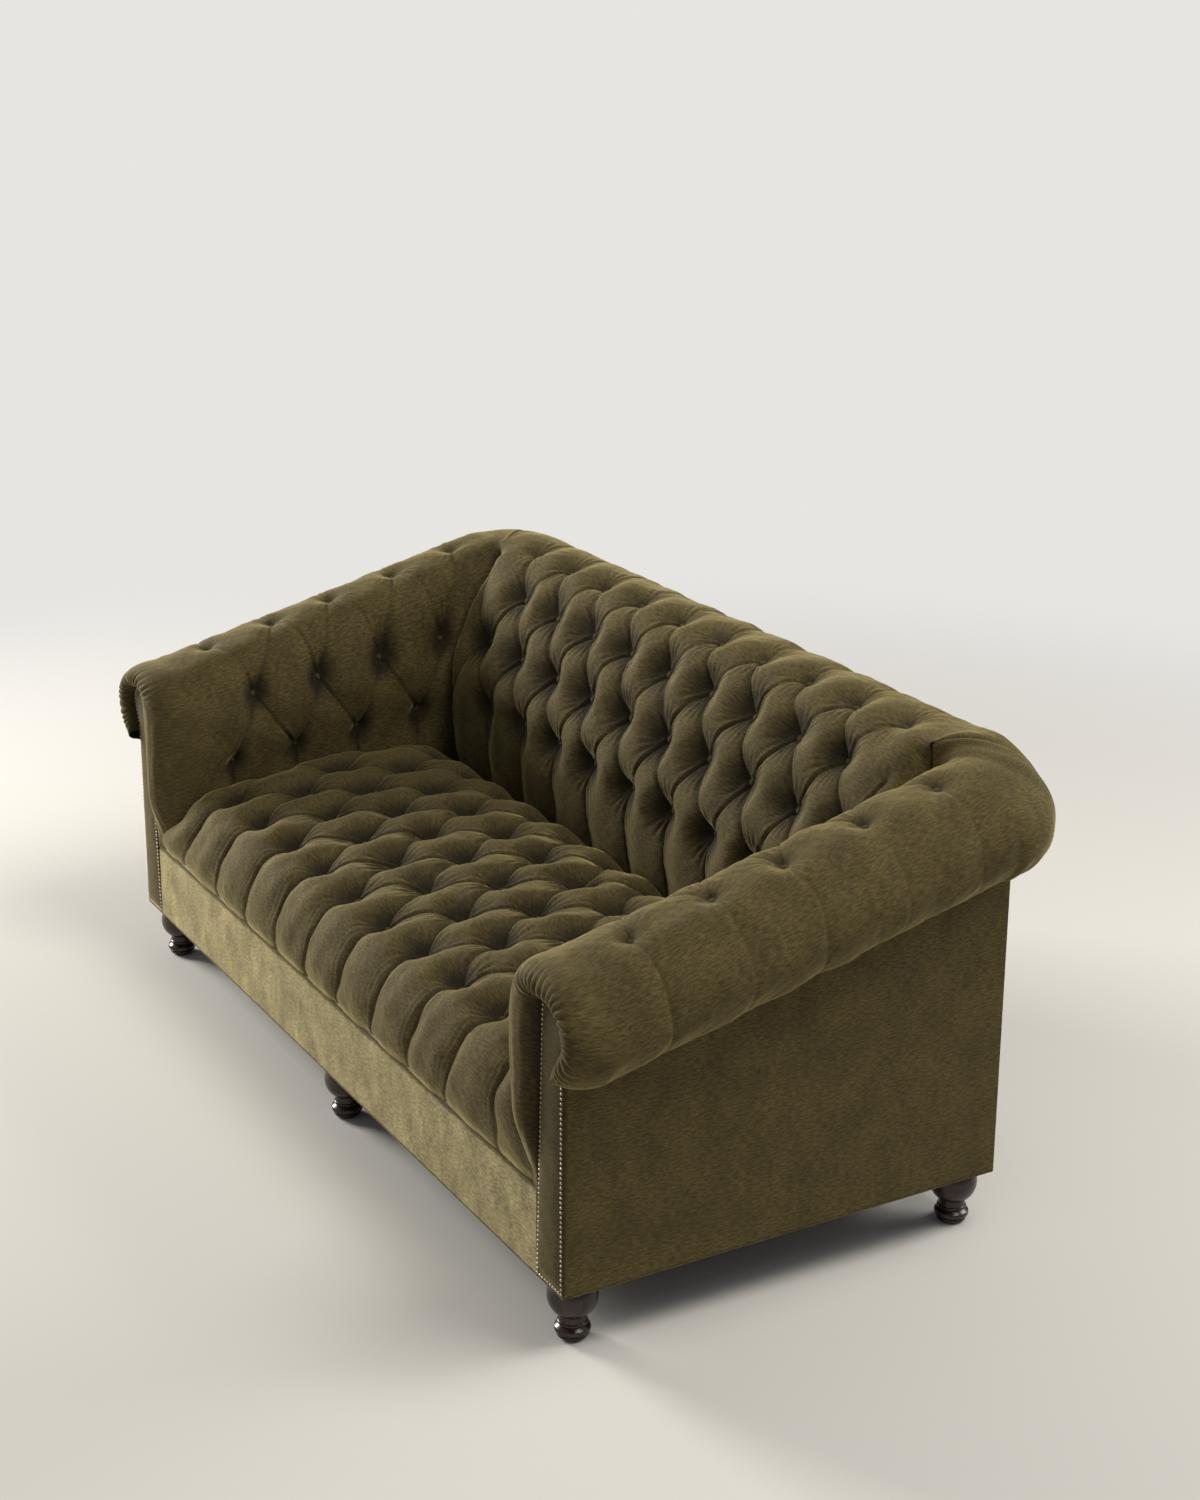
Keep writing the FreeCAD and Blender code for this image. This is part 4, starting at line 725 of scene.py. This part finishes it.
def velvet(name, base, uvName=None, weave=1.0, sheen=0.9, mottle=1.0):
    # chenille velvet: a mottled nap over a fine cross weave, brighter where it is seen edge on; with a uv map
    # it also gets painted shade in the tufting's hollows
    material, tree, shader = newMaterial(name)
    make, link = tree.nodes.new, tree.links.new
    if uvName:
        source = make("ShaderNodeUVMap")
        source.uv_map = uvName
        place = source.outputs["UV"]
    else:
        source, parts, joinXY, both = (make("ShaderNodeTexCoord"), make("ShaderNodeSeparateXYZ"),
                                       make("ShaderNodeMath"), make("ShaderNodeCombineXYZ"))
        link(source.outputs["Object"], parts.inputs[0])
        link(parts.outputs["X"], joinXY.inputs[0])
        link(parts.outputs["Y"], joinXY.inputs[1])
        link(joinXY.outputs[0], both.inputs["X"])
        link(parts.outputs["Z"], both.inputs["Y"])
        place = both.outputs[0]

    def streaks(scaleU, scaleV, detail, scale=1.0):
        mapping, noise = make("ShaderNodeMapping"), make("ShaderNodeTexNoise")
        mapping.inputs["Scale"].default_value = (scaleU, scaleV, 1)
        link(place, mapping.inputs["Vector"])
        link(mapping.outputs[0], noise.inputs["Vector"])
        noise.inputs["Scale"].default_value = scale
        noise.inputs["Detail"].default_value = detail
        noise.inputs["Roughness"].default_value = 0.6
        return noise.outputs["Fac"]

    def blendIn(kind, first, second, amount):
        node = make("ShaderNodeMix")
        node.data_type = "RGBA"
        node.blend_type = kind
        node.inputs["Factor"].default_value = amount
        link(first, node.inputs["A"])
        link(second, node.inputs["B"])
        return node.outputs["Result"]

    def ramp(value, stops):
        node = make("ShaderNodeValToRGB")
        for element, (position, color) in zip(node.color_ramp.elements, (stops[0], stops[-1])):
            element.position, element.color = position, (*color, 1)
        for position, color in stops[1:-1]:
            node.color_ramp.elements.new(position).color = (*color, 1)
        link(value, node.inputs["Fac"])
        return node.outputs["Color"]

    def shade(factor):
        return tuple(min(1.0, c * factor) for c in base)

    nap = ramp(streaks(16, 12, 4), [(0.3, shade(1 - 0.20 * mottle)), (0.7, shade(1 + 0.22 * mottle))])
    grey = [(0.36, (0.55,) * 3), (0.64, (1.0,) * 3)]
    weft = ramp(streaks(110, 900, 2), grey)
    warp = ramp(streaks(800, 190, 2), grey)
    slub = ramp(streaks(70, 290, 2), [(0.40, (0.36,) * 3), (0.60, (1.0,) * 3)])
    color = blendIn("MULTIPLY", nap, weft, 0.75 * weave)
    color = blendIn("MULTIPLY", color, warp, 0.5 * weave)
    color = blendIn("MULTIPLY", color, slub, 0.7 * weave)
    if uvName:
        # painted shade: the colour is darkened to about a fifth where the cloth lies deep in the tufting
        depth, shadow = make("ShaderNodeAttribute"), make("ShaderNodeMapRange")
        paintedShade = make("ShaderNodeCombineXYZ")
        depth.attribute_name = "paintedTuftShade"
        shadow.interpolation_type = "SMOOTHSTEP"
        shadow.inputs["From Min"].default_value, shadow.inputs["From Max"].default_value = 0.12, 0.95
        shadow.inputs["To Min"].default_value, shadow.inputs["To Max"].default_value = 1.0, 0.22
        link(depth.outputs["Fac"], shadow.inputs["Value"])
        for axis in "XYZ":
            link(shadow.outputs["Result"], paintedShade.inputs[axis])
        color = blendIn("MULTIPLY", color, paintedShade.outputs[0], 1.0)
    link(color, shader.inputs["Base Color"])
    shader.inputs["Roughness"].default_value = 0.85
    shader.inputs["Specular IOR Level"].default_value = 0.22
    shader.inputs["Sheen Weight"].default_value = sheen
    shader.inputs["Sheen Roughness"].default_value = 0.30
    shader.inputs["Sheen Tint"].default_value = (0.60, 0.50, 0.22, 1)
    bump, height = make("ShaderNodeBump"), make("ShaderNodeMath")
    height.operation = "ADD"
    link(weft, height.inputs[0])
    link(warp, height.inputs[1])
    link(height.outputs[0], bump.inputs["Height"])
    bump.inputs["Strength"].default_value = 0.35
    bump.inputs["Distance"].default_value = 0.0008
    link(bump.outputs[0], shader.inputs["Normal"])
    return material


def plain(name, color, roughness, metallic=0.0, scale=40.0, contrast=0.25, stretch=(1, 1, 1), bumpSize=0.0):
    material, tree, shader = newMaterial(name)
    make, link = tree.nodes.new, tree.links.new
    source, mapping, noise = make("ShaderNodeTexCoord"), make("ShaderNodeMapping"), make("ShaderNodeTexNoise")
    mapping.inputs["Scale"].default_value = stretch
    link(source.outputs["Object"], mapping.inputs["Vector"])
    link(mapping.outputs[0], noise.inputs["Vector"])
    noise.inputs["Scale"].default_value = scale
    noise.inputs["Detail"].default_value = 4
    ramp = make("ShaderNodeValToRGB")
    ramp.color_ramp.elements[0].position, ramp.color_ramp.elements[1].position = 0.3, 0.7
    ramp.color_ramp.elements[0].color = (*[c * (1 - contrast) for c in color], 1)
    ramp.color_ramp.elements[1].color = (*[min(1, c * (1 + contrast)) for c in color], 1)
    link(noise.outputs["Fac"], ramp.inputs["Fac"])
    link(ramp.outputs["Color"], shader.inputs["Base Color"])
    shader.inputs["Roughness"].default_value = roughness
    shader.inputs["Metallic"].default_value = metallic
    if bumpSize:
        bump = make("ShaderNodeBump")
        bump.inputs["Strength"].default_value = 0.5
        bump.inputs["Distance"].default_value = bumpSize
        link(noise.outputs["Fac"], bump.inputs["Height"])
        link(bump.outputs[0], shader.inputs["Normal"])
    return material


oliveBrown = (0.138, 0.102, 0.033)
# painted light: a lighter olive for the front rail, as if lit
railLitOlive = (0.47, 0.39, 0.20)
facingPaintedShade, buttonPaintedShade = 0.58, 0.55
padVelvet = velvet("padVelvet", oliveBrown, "weave")
panelVelvet = velvet("panelVelvet", oliveBrown)
railLitVelvet = velvet("railLitVelvet", railLitOlive, sheen=1.0, mottle=1.9)
# painted shade: the facings are a darker copy of the velvet, as if in the shadow of the arm's border
facingShadedVelvet = velvet("facingShadedVelvet", tuple(c * facingPaintedShade for c in oliveBrown), sheen=0.7)
# painted shade: the buttons are a darker copy of the velvet, as if shaded at the bottom of their dimples
buttonShadedVelvet = velvet("buttonShadedVelvet", tuple(c * buttonPaintedShade for c in oliveBrown), weave=0.7, sheen=0.3,
                      mottle=0.4)
materials = {
    "frame_wood": plain("frameWood", (0.52, 0.36, 0.20), 0.75, stretch=(1, 1, 8), scale=30),
    "spring_steel": plain("springSteel", (0.35, 0.36, 0.38), 0.4, 1.0),
    "burlap": plain("burlap", (0.50, 0.38, 0.22), 0.95, scale=600, bumpSize=0.0006),
    "filling": plain("filling", (0.80, 0.75, 0.60), 0.95, scale=300, bumpSize=0.0008),
    "cover_velvet": panelVelvet,
    "welt_velvet": panelVelvet,
    "button_velvet": buttonShadedVelvet,
    "nail_bronze": plain("nailBronze", (0.46, 0.38, 0.28), 0.30, 1.0, scale=500),
    "dust_cloth": plain("dustCloth", (0.02, 0.02, 0.02), 0.95, scale=900, bumpSize=0.0003),
    "foot_wood": plain("footWood", (0.026, 0.011, 0.006), 0.24, stretch=(1, 1, 0.15), scale=120,
                       contrast=0.5),
    "glide_plastic": plain("glidePlastic", (0.05, 0.045, 0.04), 0.7),
}
for entry in frame["record"]["subparts"]:
    mesh = nodes[entry["node"]].data
    mesh.materials.clear()
    mesh.materials.append(materials[entry["material_slot"]])

railMesh = nodes["front_rail_panel"].data
railMesh.materials.clear()
railMesh.materials.append(railLitVelvet)  # painted light: a lighter copy of the velvet, standing in for the light the rail catches
for piece in facings.values():
    piece.data.materials.append(facingShadedVelvet)
for piece in [seatCover, backCover, *armCovers.values()]:
    piece.data.materials.append(padVelvet)

buttons = scatterOnPoints("coverButtons", buttonSpots, buttonShape(), buttonShadedVelvet)
print("buttons", len(buttonSpots))


def nailSpots():
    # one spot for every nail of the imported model, read off the tips of their heads
    spots = []
    for name in sides:
        mesh = nodes[name + "_arm_nails"].data
        places = np.empty(len(mesh.vertices) * 3, dtype=np.float32)
        mesh.vertices.foreach_get("co", places)
        places = places.reshape(-1, 3) * 1000
        tips = places[places[:, 1] < places[:, 1].min() + 0.25]
        for x, z in sorted({(round(float(tip[0])), round(float(tip[2]))) for tip in tips}):
            near = tips[(np.abs(tips[:, 0] - x) < 3) & (np.abs(tips[:, 2] - z) < 3)].mean(axis=0)
            if all(abs(near[0] - old[0][0]) + abs(near[2] - old[0][2]) > 3 for old in spots):
                spots.append((np.array([near[0], -0.6, near[2]]), np.array([0.0, -1.0, 0.0])))
    return spots


def nailShape():
    rings = [(0.0, 2.3), (1.1, 2.1), (2.0, 1.5), (2.7, 0.3), (2.8, -0.6)]
    return domeShape("nailShape", rings, 10)


nails = scatterOnPoints("facingNails", nailSpots(), nailShape(), materials["nail_bronze"])
print("nails", len(nails.data.polygons))

# What each piece stands for
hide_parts("tufted_seat")
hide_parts("tufted_back")
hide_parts("left_tufted_arm", "left_back_corner")
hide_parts("right_tufted_arm", "right_back_corner")
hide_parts("seat_buttons", "back_buttons", "arm_buttons")
for piece in [seatCover, backCover, *armCovers.values()]:
    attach(piece, "root")
for name, piece in facings.items():
    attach(piece, "root")
    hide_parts(name + "_arm_facing")
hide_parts("left_arm_nails", "right_arm_nails")
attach(nails, "root")
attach(buttons, "root")

# Floor, lights and camera
scene = bpy.context.scene
floorMesh = bpy.data.meshes.new("floor")
floorMesh.from_pydata([(-60, -60, 0), (60, -60, 0), (60, 60, 0), (-60, 60, 0)], [], [(0, 1, 2, 3)])
floor = bpy.data.objects.new("floor", floorMesh)
scene.collection.objects.link(floor)
paleFloor, paleBackdrop = (0.64, 0.61, 0.555), (0.80, 0.785, 0.76)


def floorPaint():
    # matt near the sofa, so it takes the shadow, and an even pale tone for the camera further off
    material, tree, shader = newMaterial("floorPaint")
    make, link = tree.nodes.new, tree.links.new
    source, length = make("ShaderNodeTexCoord"), make("ShaderNodeVectorMath")
    spread, seen, both = make("ShaderNodeMapRange"), make("ShaderNodeLightPath"), make("ShaderNodeMath")
    glow, mixer = make("ShaderNodeEmission"), make("ShaderNodeMixShader")
    length.operation, both.operation = "LENGTH", "MULTIPLY"
    spread.interpolation_type = "SMOOTHSTEP"
    spread.inputs["From Min"].default_value, spread.inputs["From Max"].default_value = 1.7, 4.2
    link(source.outputs["Object"], length.inputs[0])
    link(length.outputs["Value"], spread.inputs["Value"])
    link(spread.outputs["Result"], both.inputs[0])
    link(seen.outputs["Is Camera Ray"], both.inputs[1])
    shader.inputs["Base Color"].default_value = (*paleFloor, 1)
    shader.inputs["Roughness"].default_value = 0.9
    glow.inputs["Color"].default_value = (*paleBackdrop, 1)
    link(both.outputs[0], mixer.inputs[0])
    link(shader.outputs[0], mixer.inputs[1])
    link(glow.outputs[0], mixer.inputs[2])
    link(mixer.outputs[0], tree.nodes["Material Output"].inputs["Surface"])
    return material


floorMesh.materials.append(floorPaint())


def areaLight(name, place, target, size, power, color):
    light = bpy.data.lights.new(name, "AREA")
    light.shape = "RECTANGLE"
    light.size, light.size_y = size
    light.energy = power
    light.color = color
    lamp = bpy.data.objects.new(name, light)
    lamp.location = place
    lamp.rotation_euler = (Vector(target) - Vector(place)).to_track_quat("-Z", "Y").to_euler()
    scene.collection.objects.link(lamp)


areaLight("windowLight", (-5.6, -2.9, 2.5), (0, -0.1, 0.35), (2.2, 2.0), 520, (1.0, 0.985, 0.95))
areaLight("fillLight", (2.2, 0.8, 4.4), (0.5, 0, 0.6), (2.0, 2.0), 110, (1.0, 0.98, 0.95))
areaLight("backLight", (1.8, 4.0, 3.0), (0.4, 0, 0.6), (2.6, 1.6), 110, (1.0, 0.99, 0.97))

world = bpy.data.worlds.new("studio")
scene.world = world
world.use_nodes = True
tree = world.node_tree
tree.nodes.clear()
output, mixer = tree.nodes.new("ShaderNodeOutputWorld"), tree.nodes.new("ShaderNodeMixShader")
ambient, backdrop = tree.nodes.new("ShaderNodeBackground"), tree.nodes.new("ShaderNodeBackground")
rays = tree.nodes.new("ShaderNodeLightPath")
ambient.inputs["Color"].default_value = (0.93, 0.95, 1.0, 1)
ambient.inputs["Strength"].default_value = 0.28
backdrop.inputs["Color"].default_value = (*paleBackdrop, 1)
backdrop.inputs["Strength"].default_value = 1.0
tree.links.new(rays.outputs["Is Camera Ray"], mixer.inputs[0])
tree.links.new(ambient.outputs[0], mixer.inputs[1])
tree.links.new(backdrop.outputs[0], mixer.inputs[2])
tree.links.new(mixer.outputs[0], output.inputs["Surface"])

cameraData = bpy.data.cameras.new("camera")
cameraData.sensor_width = 36
cameraData.lens = 59.43
cameraData.shift_x = 0.0329
cameraData.shift_y = -0.0509
camera = bpy.data.objects.new("camera", cameraData)
camera.location = (4.207, -2.327, 2.388)
camera.rotation_euler = (math.radians(90 - 17.455), 0, math.radians(60.96))
scene.collection.objects.link(camera)
scene.camera = camera
scene.view_settings.view_transform = "Standard"
